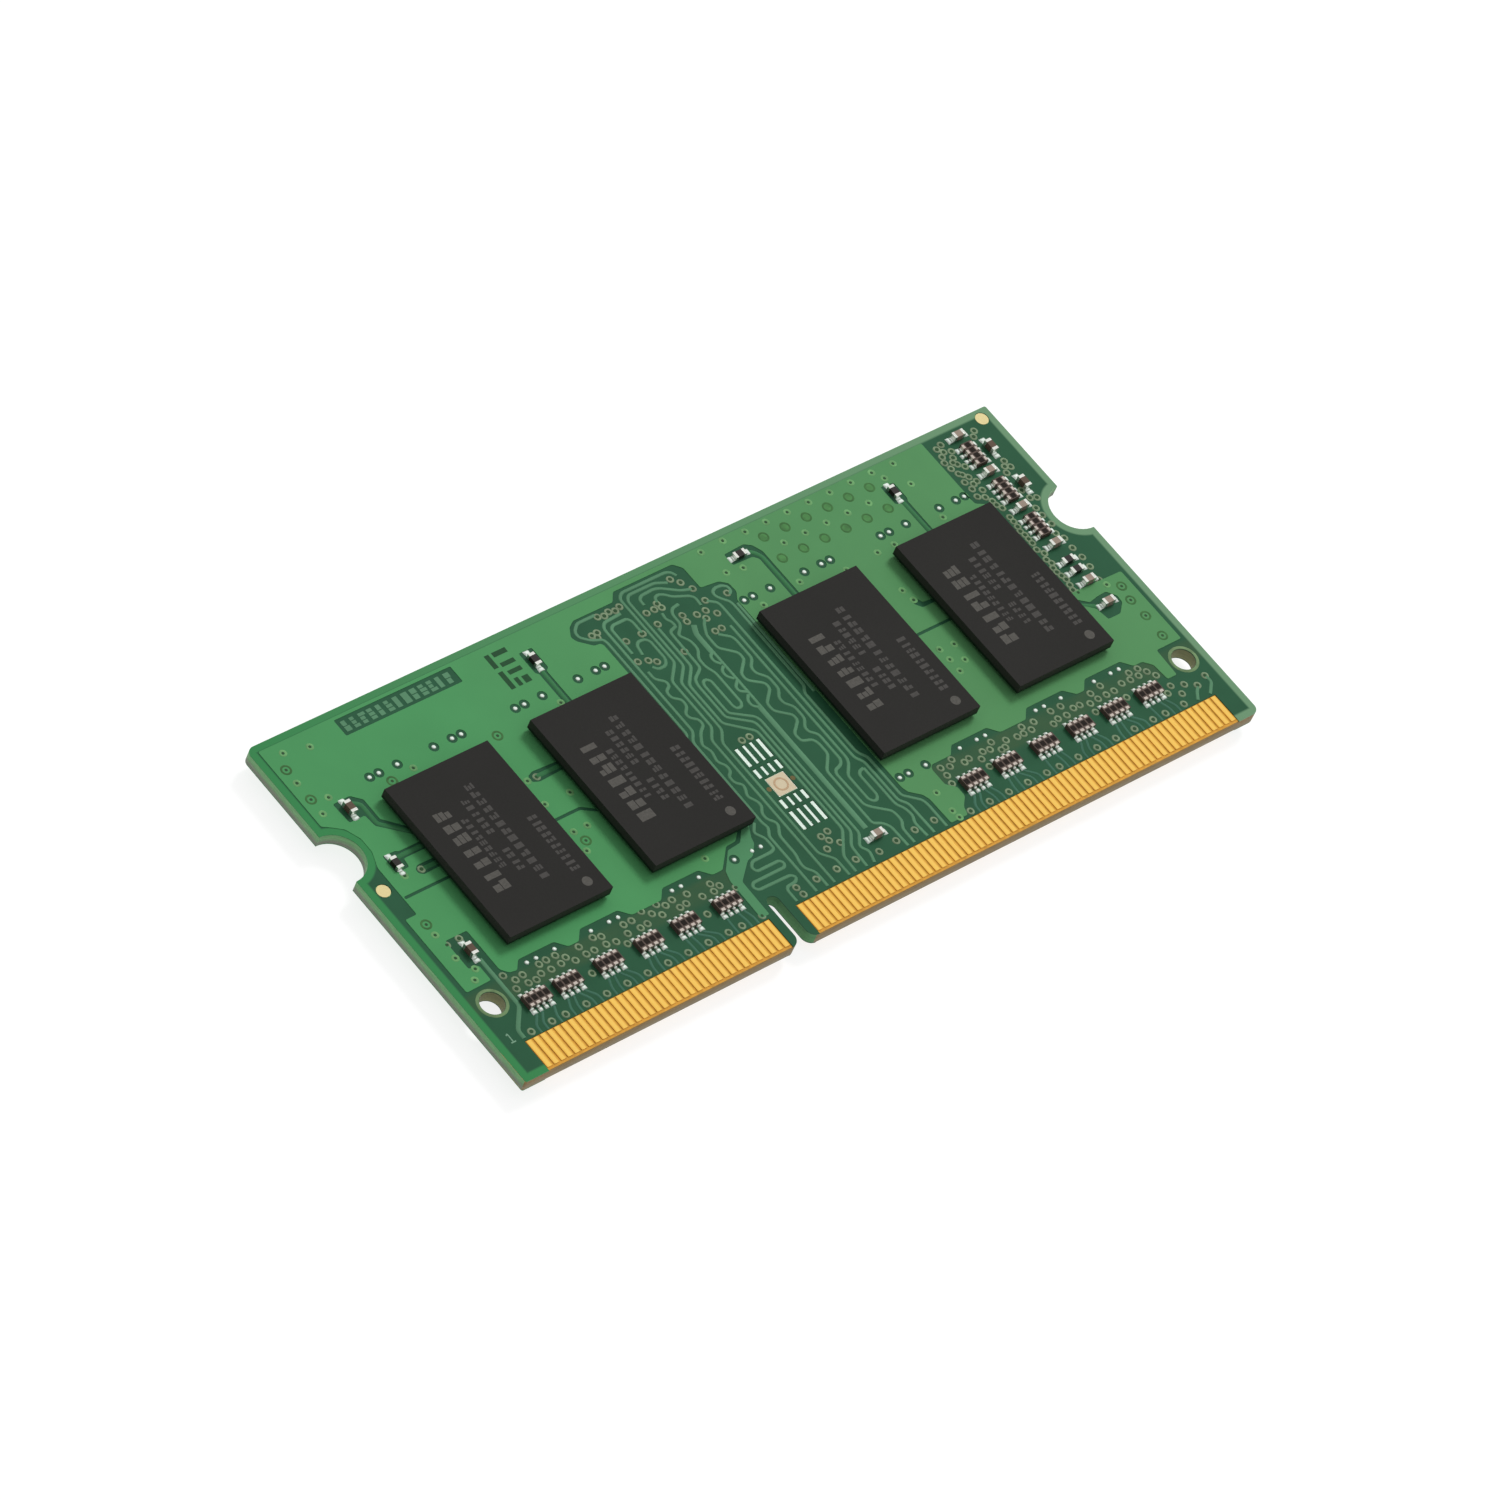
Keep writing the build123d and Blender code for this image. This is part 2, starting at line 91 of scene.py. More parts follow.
SPARE_X = 31.8                  # middle of the empty eight-pad footprint
SPARE_Y = 10.93

# single chip parts: (x, y, lies along y)
RESISTORS = [(3.22, 17.86, True), (22.77, 26.94, True), (42.0, 27.56, False),
             (56.02, 26.88, True), (63.67, 16.5, False), (63.67, 15.56, False)]
CAPACITORS = [(3.22, 22.87, True), (3.25, 9.97, True), (34.95, 4.47, False), (65.3, 26.87, True),
              (65.35, 23.27, True), (63.7, 28.7, False), (63.7, 25.2, False), (63.75, 21.7, False),
              (63.8, 18.07, False), (63.8, 14.45, False), (63.8, 12.32, False)]
BACK_CAPACITORS = [(x + dx, y, False) for x in DRAM_X for dx in (-2.8, 0.0, 2.8) for y in (11.4, 20.5)]
BULK_CAPACITORS = [(x, y, False) for x in (5.0, 33.4, 62.6) for y in (9.2, 27.0)]

# ---------------------------------------------------------------- relief under the solder mask
COPPER_RISE = 0.03              # how far mask over copper stands above mask over bare laminate
TRACE_WIDTH = 0.25
TRUNK_WIDTH = 0.42
FEED_WIDTH = 0.34
SUPPLY_WIDTH = 0.32
FANOUT_WIDTH = 0.2
BACK_FANOUT_WIDTH = 0.16
THIN_RISE = 0.02                # the finer tracks stand a little lower
RIDGE_SECTION = [(-0.5, 0.0), (-0.34, 1.0), (0.34, 1.0), (0.5, 0.0)]
RIDGE_STAGGER = 0.001
VIA_RING_RADIUS = 0.3
VIA_CLEARANCE = 0.38
POUR_TOP = FRONT + COPPER_RISE


def tone(red, green, blue):
    """A display colour, 0 to 255 a channel, as the linear colour that shaders take."""
    def linear(value):
        value /= 255
        return value / 12.92 if value <= 0.04045 else ((value + 0.055) / 1.055) ** 2.4
    return (linear(red), linear(green), linear(blue), 1.0)


MASK_DARK = tone(38, 84, 58)
# the paler border at the board's right-hand end, which also holds a painted sheen
MASK_BORDER = tone(104, 142, 108)
MASK_POUR = tone(74, 146, 90)
# painted sheen: the greyer pour colour at the board's right-hand end
MASK_POUR_SHEEN = tone(82, 139, 88)
MASK_TRACE = tone(84, 130, 98)
RING_OLIVE = tone(118, 138, 108)
MASK_BORDER_LEFT = tone(52, 128, 74)
LAMINATE_EDGE = tone(136, 110, 62)
LAMINATE_EDGE_LOW = tone(142, 128, 98)
GREEN_EDGE = tone(114, 168, 112)
GREEN_EDGE_LOW = tone(122, 130, 114)
HOLE_WALL = tone(136, 138, 96)
SLOT_WALL = tone(78, 136, 84)
CLUSTER_HAZE = tone(60, 86, 56)
FINGER_GAP = tone(206, 148, 52)
GOLD = tone(252, 204, 96)
# painted shade: the darker gold towards each contact's sides
GOLD_SIDE_SHADE = tone(232, 172, 62)
TIN = tone(232, 234, 226)
FIDUCIAL = tone(232, 216, 158)
MOULD = tone(35, 34, 32)
LASER_MARK = tone(72, 70, 68)
LASER_MARK_BOLD = tone(84, 82, 78)
CAPACITOR_TAN = tone(150, 134, 121)
CAPACITOR_BROWN = tone(94, 78, 66)
RESISTOR_BLACK = tone(36, 31, 28)
PEACH_COPPER = tone(212, 198, 168)
CERAMIC = tone(88, 75, 68)
ARRAY_TIN = tone(206, 194, 184)


# ---------------------------------------------------------------- shader helpers
class Shader:
    """One Principled material, with short calls for the textures that feed it."""

    def __init__(self, name, metallic=0.0, roughness=0.5, specular=0.5):
        self.material = bpy.data.materials.new(name)
        self.material.use_nodes = True
        self.nodes = self.material.node_tree.nodes
        self.links = self.material.node_tree.links
        self.surface = self.nodes["Principled BSDF"]
        self.surface.inputs["Metallic"].default_value = metallic
        self.surface.inputs["Roughness"].default_value = roughness
        self.surface.inputs["Specular IOR Level"].default_value = specular
        self.place = self.nodes.new("ShaderNodeTexCoord").outputs["Object"]

    def math(self, operation, first, second=None, third=None):
        node = self.nodes.new("ShaderNodeMath")
        node.operation = operation
        for socket, value in zip(node.inputs, (first, second, third)):
            if isinstance(value, (int, float)):
                socket.default_value = value
            elif value is not None:
                self.links.new(value, socket)
        return node.outputs[0]

    def noise(self, per_mm, detail=3.0, stretch=None):
        """Noise with about per_mm features to the millimetre."""
        node = self.nodes.new("ShaderNodeTexNoise")
        node.inputs["Scale"].default_value = per_mm / MM
        node.inputs["Detail"].default_value = detail
        place = self.place
        if stretch:
            mapping = self.nodes.new("ShaderNodeMapping")
            mapping.inputs["Scale"].default_value = stretch
            self.links.new(place, mapping.inputs["Vector"])
            place = mapping.outputs["Vector"]
        self.links.new(place, node.inputs["Vector"])
        return node.outputs["Fac"]

    def ramp(self, factor, low, high, first, second):
        """A colour that turns from first to second as the factor goes from low to high."""
        node = self.nodes.new("ShaderNodeValToRGB")
        node.color_ramp.elements[0].position = low
        node.color_ramp.elements[0].color = first
        node.color_ramp.elements[1].position = high
        node.color_ramp.elements[1].color = second
        self.links.new(factor, node.inputs["Fac"])
        return node.outputs["Color"]

    def mix(self, factor, first, second):
        node = self.nodes.new("ShaderNodeMix")
        node.data_type = "RGBA"
        self.links.new(factor, node.inputs["Factor"])
        for socket, value in ((node.inputs[6], first), (node.inputs[7], second)):
            if isinstance(value, tuple):
                socket.default_value = value
            else:
                self.links.new(value, socket)
        return node.outputs[2]

    def multiply(self, first, second):
        """Two colours multiplied."""
        node = self.nodes.new("ShaderNodeMix")
        node.data_type = "RGBA"
        node.blend_type = "MULTIPLY"
        node.inputs["Factor"].default_value = 1.0
        self.links.new(first, node.inputs[6])
        self.links.new(second, node.inputs[7])
        return node.outputs[2]

    def apart(self, place, target):
        """Distance of a coordinate from the target."""
        return self.math("ABSOLUTE", self.math("SUBTRACT", place, target))

    def near(self, place, target, reach):
        """1 where a coordinate is within reach of the target, else 0."""
        return self.math("LESS_THAN", self.apart(place, target), reach)

    def unless(self, value, where):
        """The value, but 0 where the other factor is 1."""
        return self.math("MULTIPLY", value, self.math("SUBTRACT", 1.0, where))

    def colour(self, value):
        self.links.new(value, self.surface.inputs["Base Color"])

    def rough(self, factor, low, high):
        """Roughness that varies between two values with the factor."""
        node = self.nodes.new("ShaderNodeMapRange")
        node.inputs["To Min"].default_value = low
        node.inputs["To Max"].default_value = high
        self.links.new(factor, node.inputs["Value"])
        self.links.new(node.outputs["Result"], self.surface.inputs["Roughness"])

    def bump(self, height, strength, depth_mm):
        node = self.nodes.new("ShaderNodeBump")
        node.inputs["Strength"].default_value = strength
        node.inputs["Distance"].default_value = depth_mm * MM
        self.links.new(height, node.inputs["Height"])
        self.links.new(node.outputs["Normal"], self.surface.inputs["Normal"])

    def position_mm(self):
        """The three coordinates of a point in the module's frame, in mm."""
        scaled = self.nodes.new("ShaderNodeVectorMath")
        scaled.operation = "SCALE"
        scaled.inputs["Scale"].default_value = 1 / MM
        self.links.new(self.place, scaled.inputs[0])
        parts = self.nodes.new("ShaderNodeSeparateXYZ")
        self.links.new(scaled.outputs[0], parts.inputs[0])
        return parts.outputs

    def lacquer(self, per_mm, detail, low, high, bump):
        """The fine unevenness of a mask's gloss and surface."""
        fine = self.noise(per_mm, detail=detail)
        self.rough(fine, low, high)
        self.bump(fine, bump, 0.01)

    def grained(self, per_mm, base, variation, low, high, bump):
        """One colour whose shade, roughness and surface are all broken up by the same fine grain."""
        grain = self.noise(per_mm, detail=4)
        self.colour(self.ramp(grain, 0.25, 0.8, shade(base, 1 - variation), shade(base, 1 + variation)))
        self.rough(grain, low, high)
        self.bump(grain, bump, 0.01)

    def by_slot(self, reach):
        """1 within reach of the key slot's middle line, on the contact side of the board."""
        x, y, _ = self.position_mm()
        on_contact_side = self.math("LESS_THAN", y, 0.0)
        return self.math("MULTIPLY", self.near(x, KEY_X - HALF_LENGTH, reach), on_contact_side)

    def along_board(self):
        """0 at the board's left-hand end, 1 at its right-hand end."""
        return self.math("MULTIPLY_ADD", self.position_mm()[0], 1 / BOARD_LENGTH, 0.5)


def shade(colour, amount):
    """The same colour, lighter or darker by a share."""
    return tuple(min(1.0, c * amount) for c in colour[:3]) + (1.0,)


def grey(level):
    """A linear grey, to multiply colours by."""
    return (level, level, level, 1.0)


BLACK = grey(0.0)
WHITE = grey(1.0)


# ---------------------------------------------------------------- materials
def edge_distance(shader):
    """Distance in mm from the board's straight sides and latch notches, for the paler border."""
    x, y, _ = shader.position_mm()
    x = shader.math("ABSOLUTE", x)
    from_end = shader.math("SUBTRACT", HALF_LENGTH, x)
    from_side = shader.math("SUBTRACT", HALF_HEIGHT, shader.math("ABSOLUTE", y))
    notch_y = shader.math("SUBTRACT", y, NOTCH_Y - HALF_HEIGHT)
    squares = shader.math("ADD", shader.math("POWER", from_end, 2.0), shader.math("POWER", notch_y, 2.0))
    from_notch = shader.math("SUBTRACT", shader.math("SQRT", squares), NOTCH_RADIUS)
    nearest = shader.math("MINIMUM", from_end, from_side)
    return shader.math("MINIMUM", nearest, from_notch)


def make_mask():
    """Solder mask: slightly uneven green lacquer, paler where no inner plane lies under it, with a painted
    sheen that greys the border towards the right-hand end.
    """
    shader = Shader("solder_mask", roughness=0.36, specular=0.14)
    x, y, _ = shader.position_mm()
    mottle = shader.noise(0.35, detail=4)
    body = shader.ramp(mottle, 0.3, 0.75, shade(MASK_DARK, 0.92), shade(MASK_DARK, 1.08))
    from_clusters = shader.apart(y, CLUSTER_Y - HALF_HEIGHT)
    off_channel = shader.math("GREATER_THAN", shader.apart(x, CHANNEL_X - HALF_LENGTH), 9.2)
    patches = shader.math("MULTIPLY", shader.noise(0.7, detail=3), off_channel)
    haze = shader.unless(patches, shader.ramp(from_clusters, 0.6, 1.0, BLACK, WHITE))
    body = shader.mix(haze, body, CLUSTER_HAZE)
    border = shader.ramp(edge_distance(shader), 0.46, 0.62, WHITE, BLACK)
    border = shader.unless(border, shader.by_slot(1.8))
    # the border's paleness is its own colour; its grade from the left-hand end to the right-hand end is a
    # painted sheen
    border_colour = shader.mix(shader.along_board(), MASK_BORDER_LEFT, MASK_BORDER)
    shader.colour(shader.mix(border, body, border_colour))
    shader.lacquer(5.0, 3, 0.30, 0.44, 0.12)
    return shader.material


def make_copper_mask(name, base, spread=0.06):
    """Solder mask that lies over copper, so more light comes back through it."""
    shader = Shader(name, roughness=0.38, specular=0.14)
    mottle = shader.noise(0.22, detail=5)
    shader.colour(shader.ramp(mottle, 0.3, 0.72, shade(base, 1 - spread), shade(base, 1 + spread)))
    shader.lacquer(4.0, 4, 0.32, 0.46, 0.10)
    return shader.material


def make_pour():
    """The mask over the ground pour, a little greyer towards the right-hand end as a painted sheen."""
    shader = Shader("mask_over_pour", roughness=0.38, specular=0.14)
    # painted sheen: the pour greys towards the right-hand end, where light glances off the lacquer
    base = shader.ramp(shader.along_board(), 0.2, 0.6, MASK_POUR, MASK_POUR_SHEEN)
    mottle = shader.ramp(shader.noise(0.22, detail=5), 0.3, 0.72, grey(0.93), WHITE)
    shader.colour(shader.multiply(base, mottle))
    shader.lacquer(4.0, 4, 0.32, 0.46, 0.10)
    return shader.material


def make_metal(name, base, roughness, variation, per_mm, bump=0.1, metallic=1.0):
    """Bare, plated or soldered metal."""
    shader = Shader(name, metallic=metallic, roughness=roughness)
    shader.grained(per_mm, base, variation, roughness - 0.08, roughness + 0.12, bump)
    return shader.material


def make_gold():
    """Gold over nickel: darker towards each contact's sides as painted shade of its rounded edges, with faint
    wiping marks.
    """
    shader = Shader("gold_plating", metallic=1.0, roughness=0.28)
    first_side = CONTACT_START - CONTACT_PITCH / 2 - HALF_LENGTH
    from_left = shader.math("SUBTRACT", shader.position_mm()[0], first_side)
    across = shader.math("FRACT", shader.math("DIVIDE", from_left, CONTACT_PITCH))
    from_middle = shader.apart(across, 0.5)
    # painted shade: each contact lighter in its middle and darker towards its sides, in place of rounded
    # edges
    painted_side_shade = shader.ramp(from_middle, 0.16, 0.34, GOLD, GOLD_SIDE_SHADE)
    wipe = shader.noise(3.0, detail=3, stretch=(4.0, 0.35, 1.0))
    shader.colour(shader.mix(shader.math("MULTIPLY", wipe, 0.3), painted_side_shade, tone(255, 222, 140)))
    shader.rough(wipe, 0.2, 0.42)
    shader.bump(wipe, 0.15, 0.006)
    return shader.material


def make_laminate():
    """Glass-epoxy: layered fibres on the cut edges, amber resin between the gold contacts."""
    shader = Shader("laminate_edge", roughness=0.6, specular=0.35)
    x, y, z = shader.position_mm()
    layers = shader.noise(2.2, detail=5, stretch=(0.5, 0.5, 5.0))
    depth = shader.math("DIVIDE", shader.math("SUBTRACT", z, BACK), FRONT - BACK)
    bare = shader.ramp(depth, 0.25, 0.75, LAMINATE_EDGE_LOW, LAMINATE_EDGE)
    stained = shader.ramp(depth, 0.25, 0.65, GREEN_EDGE_LOW, GREEN_EDGE)
    hole_x, hole_y = HOLES[0]
    by_hole = shader.math("MULTIPLY", shader.near(shader.math("ABSOLUTE", x), HALF_LENGTH - hole_x, 1.0),
                          shader.near(y, hole_y - HALF_HEIGHT, 1.0))
    in_opening = shader.math("MAXIMUM", by_hole, shader.by_slot(1.0))
    edge = shader.mix(shader.math("LESS_THAN", y, 0.12 - HALF_HEIGHT), stained, bare)
    edge = shader.mix(in_opening, edge, shader.mix(by_hole, SLOT_WALL, HOLE_WALL))
    edge = shader.multiply(edge, shader.ramp(layers, 0.3, 0.75, grey(0.76), grey(1.1)))
    weave = shader.noise(3.0, detail=2)
    resin = shader.ramp(weave, 0.3, 0.7, shade(FINGER_GAP, 0.85), shade(FINGER_GAP, 1.15))
    low = shader.math("LESS_THAN", y, CONTACT_TOP_Y + 0.1 - HALF_HEIGHT)
    off_edge = shader.math("GREATER_THAN", y, 0.06 - HALF_HEIGHT)
    near_top = shader.math("GREATER_THAN", z, FRONT - 0.08)
    near_bottom = shader.math("LESS_THAN", z, BACK + 0.08)
    face = shader.math("MAXIMUM", near_top, near_bottom)
    where = shader.unless(shader.math("MULTIPLY", shader.math("MULTIPLY", low, off_edge), face), in_opening)
    shader.colour(shader.mix(where, edge, resin))
    shader.bump(layers, 0.35, 0.03)
    return shader.material


def make_mould():
    """Black epoxy mould compound with the fine grain of its filler, its sides painted lighter as painted
    light on them.
    """
    shader = Shader("mould_compound", roughness=0.62, specular=0.2)
    broad = shader.noise(0.15, detail=2)
    grain = shader.noise(9.0, detail=5)
    body = shader.ramp(broad, 0.3, 0.7, shade(MOULD, 0.94), shade(MOULD, 1.08))
    # painted light: below the top face the sides are painted twice as bright, for the light that falls on
    # them
    side = shader.math("LESS_THAN", shader.position_mm()[2], DRAM_TOP - 0.05)
    body = shader.mix(side, body, shade(MOULD, 2.0))
    shader.colour(shader.mix(shader.math("MULTIPLY", grain, 0.25), body, shade(MOULD, 1.35)))
    shader.rough(grain, 0.52, 0.74)
    shader.bump(grain, 0.35, 0.012)
    return shader.material


def make_capacitor():
    """Fired ceramic: tan in the right-hand column, darker brown for the taller ones that lie along y."""
    shader = Shader("capacitor_ceramic", roughness=0.5, specular=0.2)
    grain = shader.noise(7.0, detail=4)
    x = shader.position_mm()[0]
    in_column = shader.near(x, TERMINATION_X - HALF_LENGTH, 0.8)
    in_channel = shader.near(x, CAPACITORS[2][0] - HALF_LENGTH, 1.0)
    tan = shader.math("MAXIMUM", in_column, in_channel)
    body = shader.mix(tan, CAPACITOR_BROWN, CAPACITOR_TAN)
    shader.colour(shader.multiply(body, shader.ramp(grain, 0.25, 0.8, grey(0.85), grey(1.1))))
    shader.rough(grain, 0.44, 0.6)
    shader.bump(grain, 0.2, 0.01)
    return shader.material


def make_plain(name, base, roughness, per_mm, variation=0.15, specular=0.2, bump=0.2):
    """A fired, moulded or printed surface."""
    shader = Shader(name, roughness=roughness, specular=specular)
    shader.grained(per_mm, base, variation, roughness - 0.06, roughness + 0.1, bump)
    return shader.material


MASK = make_mask()
POUR = make_pour()
TRACE = make_copper_mask("mask_over_trace", MASK_TRACE, 0.1)
CHANNEL_TRACE = make_copper_mask("mask_over_feed", tone(54, 112, 70), 0.08)
RING = make_plain("via_ring", RING_OLIVE, 0.42, 2.0, 0.28)
RING_GREEN = make_plain("via_ring_green", tone(102, 154, 98), 0.42, 2.0, 0.3)
RING_DARK = make_plain("via_outline", tone(60, 106, 58), 0.5, 2.0, 0.3)
POWER_MASK = make_copper_mask("mask_over_power", tone(76, 134, 92))
VIA_PIT = make_plain("via_pit", tone(44, 76, 46), 0.5, 2.0)
GOLD_PLATE = make_gold()
TIN_PLATE = make_metal("tin_plate", TIN, 0.3, 0.08, 6.0, bump=0.25, metallic=0.9)
SOLDER = make_metal("solder", tone(238, 250, 240), 0.28, 0.05, 4.0, bump=0.15, metallic=0.8)
BRIGHT_PAD = make_metal("bright_pad", tone(228, 244, 232), 0.32, 0.05, 5.0, metallic=0.75)
FIDUCIAL_PAD = make_metal("fiducial_pad", FIDUCIAL, 0.4, 0.06, 3.0, metallic=0.6)
THERMAL_PAD = make_metal("thermal_pad", PEACH_COPPER, 0.4, 0.08, 2.0, metallic=0.6)
PAD_RING = make_metal("thermal_pad_ring", tone(196, 166, 132), 0.4, 0.1, 2.0, metallic=0.6)
HOLE_ANNULUS = make_plain("hole_annulus", tone(106, 134, 92), 0.45, 2.0, 0.25)
FANOUT = make_copper_mask("mask_over_fanout", tone(60, 104, 84), 0.1)
TENTED = make_plain("tented_via", tone(72, 126, 70), 0.5, 1.6, 0.3)
FLUX_STAIN = make_plain("flux_stain", tone(104, 92, 58), 0.6, 2.0, 0.3)
LAMINATE = make_laminate()
MOULD_COMPOUND = make_mould()
MARKING = make_plain("laser_marking", LASER_MARK, 0.7, 8.0, 0.2)
MARKING_BOLD = make_plain("laser_marking_bold", LASER_MARK_BOLD, 0.7, 8.0, 0.2)
CAPACITOR = make_capacitor()
ARRAY_BODY = make_plain("array_ceramic", CERAMIC, 0.45, 7.0, 0.2)
ARRAY_GLAZE = make_plain("array_glaze", tone(34, 28, 24), 0.4, 7.0, 0.25, specular=0.1)
ARRAY_TERMINAL = make_metal("array_terminal", ARRAY_TIN, 0.34, 0.08, 6.0, bump=0.25, metallic=0.9)
RESISTOR = make_plain("resistor_glaze", RESISTOR_BLACK, 0.32, 6.0, 0.2, specular=0.35)
SUBSTRATE = make_plain("package_substrate", tone(20, 38, 26), 0.5, 5.0)
SILICON = make_metal("silicon", tone(120, 122, 128), 0.25, 0.05, 1.0, metallic=0.8)
COPPER = make_metal("bare_copper", tone(200, 130, 96), 0.35, 0.08, 2.0)
LEGEND_DARK = make_plain("etched_legend", tone(30, 72, 42), 0.45, 3.0)
PALE_INK = make_plain("pale_legend", tone(120, 158, 132), 0.5, 3.0)


def make_floor_material():
    """A lit white table with a barely visible tooth, so that shadows on it stay faint."""
    shader = Shader("light_table", roughness=0.9, specular=0.0)
    tooth = shader.noise(0.4, detail=2)
    shader.colour(shader.ramp(tooth, 0.2, 0.8, grey(0.24), grey(0.27)))
    shader.surface.inputs["Emission Color"].default_value = (1, 1, 1, 1)
    shader.surface.inputs["Emission Strength"].default_value = 0.82
    return shader.material


# ---------------------------------------------------------------- mesh helpers
def spot(x, y, z):
    """A point given in board mm, in the frame's metres."""
    return Vector(((x - HALF_LENGTH) * MM, (y - HALF_HEIGHT) * MM, z * MM))


def settle(obj, material, smooth_angle=35):
    """Give a finished piece its material, shading and body."""
    obj.data.materials.clear()
    obj.data.materials.append(material)
    for face in obj.data.polygons:
        face.use_smooth = True
    obj.data.set_sharp_from_angle(angle=math.radians(smooth_angle))
    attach(obj, "root")
    return obj


def mesh_piece(name, build, material, smooth_angle=35):
    """Make one piece from a function that fills a bmesh in metres."""
    shape = bmesh.new()
    build(shape)
    bmesh.ops.recalc_face_normals(shape, faces=shape.faces)
    mesh = bpy.data.meshes.new(name)
    shape.to_mesh(mesh)
    shape.free()
    obj = bpy.data.objects.new(name, mesh)
    bpy.context.collection.objects.link(obj)
    return settle(obj, material, smooth_angle)


def eased(route, radius=0.25, steps=3):
    """The route with each corner rounded off by a short curve."""
    points = [Vector(p) for p in route]
    if len(points) < 3:
        return points
    closed = (points[0] - points[-1]).length < 1e-9
    if closed:
        points = points[:-1]
    result = [] if closed else [points[0]]
    count = len(points)
    for i in range(count) if closed else range(1, count - 1):
        before, corner, after = points[i - 1], points[i], points[(i + 1) % count]
        cut = min(radius, (before - corner).length * 0.45, (after - corner).length * 0.45)
        start = corner + (before - corner).normalized() * cut
        end = corner + (after - corner).normalized() * cut
        for step in range(steps + 1):
            t = step / steps
            result.append(start * (1 - t) ** 2 + corner * 2 * t * (1 - t) + end * t ** 2)
    if not closed:
        result.append(points[-1])
    return result


def skin(shape, rows):
    """Close equal rows of corners into a solid with a flat face at each end."""
    for row, following in zip(rows, rows[1:]):
        for k in range(len(row)):
            after = (k + 1) % len(row)
            shape.faces.new((row[k], row[after], following[after], following[k]))
    shape.faces.new(rows[0])
    shape.faces.new(list(reversed(rows[-1])))


def add_ridge(shape, route, width, rise, base, up=1):
    """A raised track: a low trapezium swept along a route in the board's plane."""
    points = eased(route)
    rows = []
    for i, point in enumerate(points):
        before = points[max(i - 1, 0)]
        after = points[min(i + 1, len(points) - 1)]
        along = (after - before).normalized()
        side = Vector((-along.y, along.x))
        row = []
        for across, lift in RIDGE_SECTION:
            edge = point + side * (across * width)
            row.append(shape.verts.new(spot(edge.x, edge.y, base + up * rise * lift)))
        rows.append(row)
    skin(shape, rows)


def ridges(name, routes, width, rise, base, material, up=1):
    """Tracks in one piece, a hair apart in height so that no two tops share a plane where they meet."""
    def build(shape):
        for number, route in enumerate(routes):
            add_ridge(shape, route, width, rise + RIDGE_STAGGER * (number % 5), base, up)
    return mesh_piece(name, build, material)


def add_turned(shape, x, y, profile, segments=16):
    """A lathe-turned solid on a vertical axis, from (radius, height) pairs in mm."""
    rows = []
    for radius, height in profile:
        if radius == 0:
            rows.append([shape.verts.new(spot(x, y, height))])
            continue
        row = []
        for k in range(segments):
            angle = 2 * math.pi * k / segments
            around = spot(x + radius * math.cos(angle), y + radius * math.sin(angle), height)
            row.append(shape.verts.new(around))
        rows.append(row)
    for row, following in zip(rows, rows[1:]):
        for k in range(segments):
            corners = [row[k % len(row)], row[(k + 1) % len(row)],
                       following[(k + 1) % len(following)], following[k % len(following)]]
            unique = [c for i, c in enumerate(corners) if c not in corners[:i]]
            shape.faces.new(unique)
    if len(rows[0]) > 1 and len(rows[-1]) > 1 and profile[0] != profile[-1]:
        shape.faces.new(rows[0])
        shape.faces.new(rows[-1])


def turned(name, places, profile, material, segments=16):
    def build(shape):
        for x, y in places:
            add_turned(shape, x, y, profile, segments)
    return mesh_piece(name, build, material, smooth_angle=50)


def mirrored(profile):
    """A front profile turned over for the back."""
    return [(radius, BACK - (height - FRONT)) for radius, height in profile]


def filled(name, outlines, low, high, material, bevel=0.008):
    """A flat plate from closed outlines in mm, where an outline inside another is a hole."""
    curve = bpy.data.curves.new(name, "CURVE")
    curve.dimensions = "2D"
    curve.fill_mode = "BOTH"
    curve.extrude = ((high - low) / 2 - bevel) * MM
    curve.bevel_depth = bevel * MM
    curve.bevel_resolution = 0
    curve.offset = -bevel * MM
    for outline in outlines:
        spline = curve.splines.new("POLY")
        spline.points.add(len(outline) - 1)
        for target, (x, y) in zip(spline.points, outline):
            target.co = ((x - HALF_LENGTH) * MM, (y - HALF_HEIGHT) * MM, 0, 1)
        spline.use_cyclic_u = True
    draft = bpy.data.objects.new(name + "_draft", curve)
    bpy.context.collection.objects.link(draft)
    bpy.context.view_layer.update()
    evaluated = draft.evaluated_get(bpy.context.evaluated_depsgraph_get())
    mesh = bpy.data.meshes.new_from_object(evaluated)
    mesh.transform(Matrix.Translation((0, 0, (low + high) / 2 * MM)))
    bpy.data.objects.remove(draft)
    bpy.data.curves.remove(curve)
    mesh.name = name
    obj = bpy.data.objects.new(name, mesh)
    bpy.context.collection.objects.link(obj)
    return settle(obj, material)


def rounded_outline(points, radius=0.2):
    """A closed outline with every corner rounded, as plain (x, y) pairs."""
    closed = list(points) + [points[0]]
    return [(p.x, p.y) for p in eased([Vector(p) for p in closed], radius)]


def circle(x, y, radius, segments=20):
    return [(x + radius * math.cos(2 * math.pi * k / segments),
             y + radius * math.sin(2 * math.pi * k / segments)) for k in range(segments)]


def bar(x0, y0, x1, y1):
    """A rectangle's corners."""
    return [(x0, y0), (x1, y0), (x1, y1), (x0, y1)]


def add_block(shape, x0, y0, x1, y1, low, high):
    corners = [shape.verts.new(spot(x, y, z)) for z in (low, high) for x, y in bar(x0, y0, x1, y1)]
    for face in ((0, 1, 2, 3), (4, 5, 6, 7), (0, 1, 5, 4), (1, 2, 6, 5), (2, 3, 7, 6), (3, 0, 4, 7)):
        shape.faces.new([corners[k] for k in face])


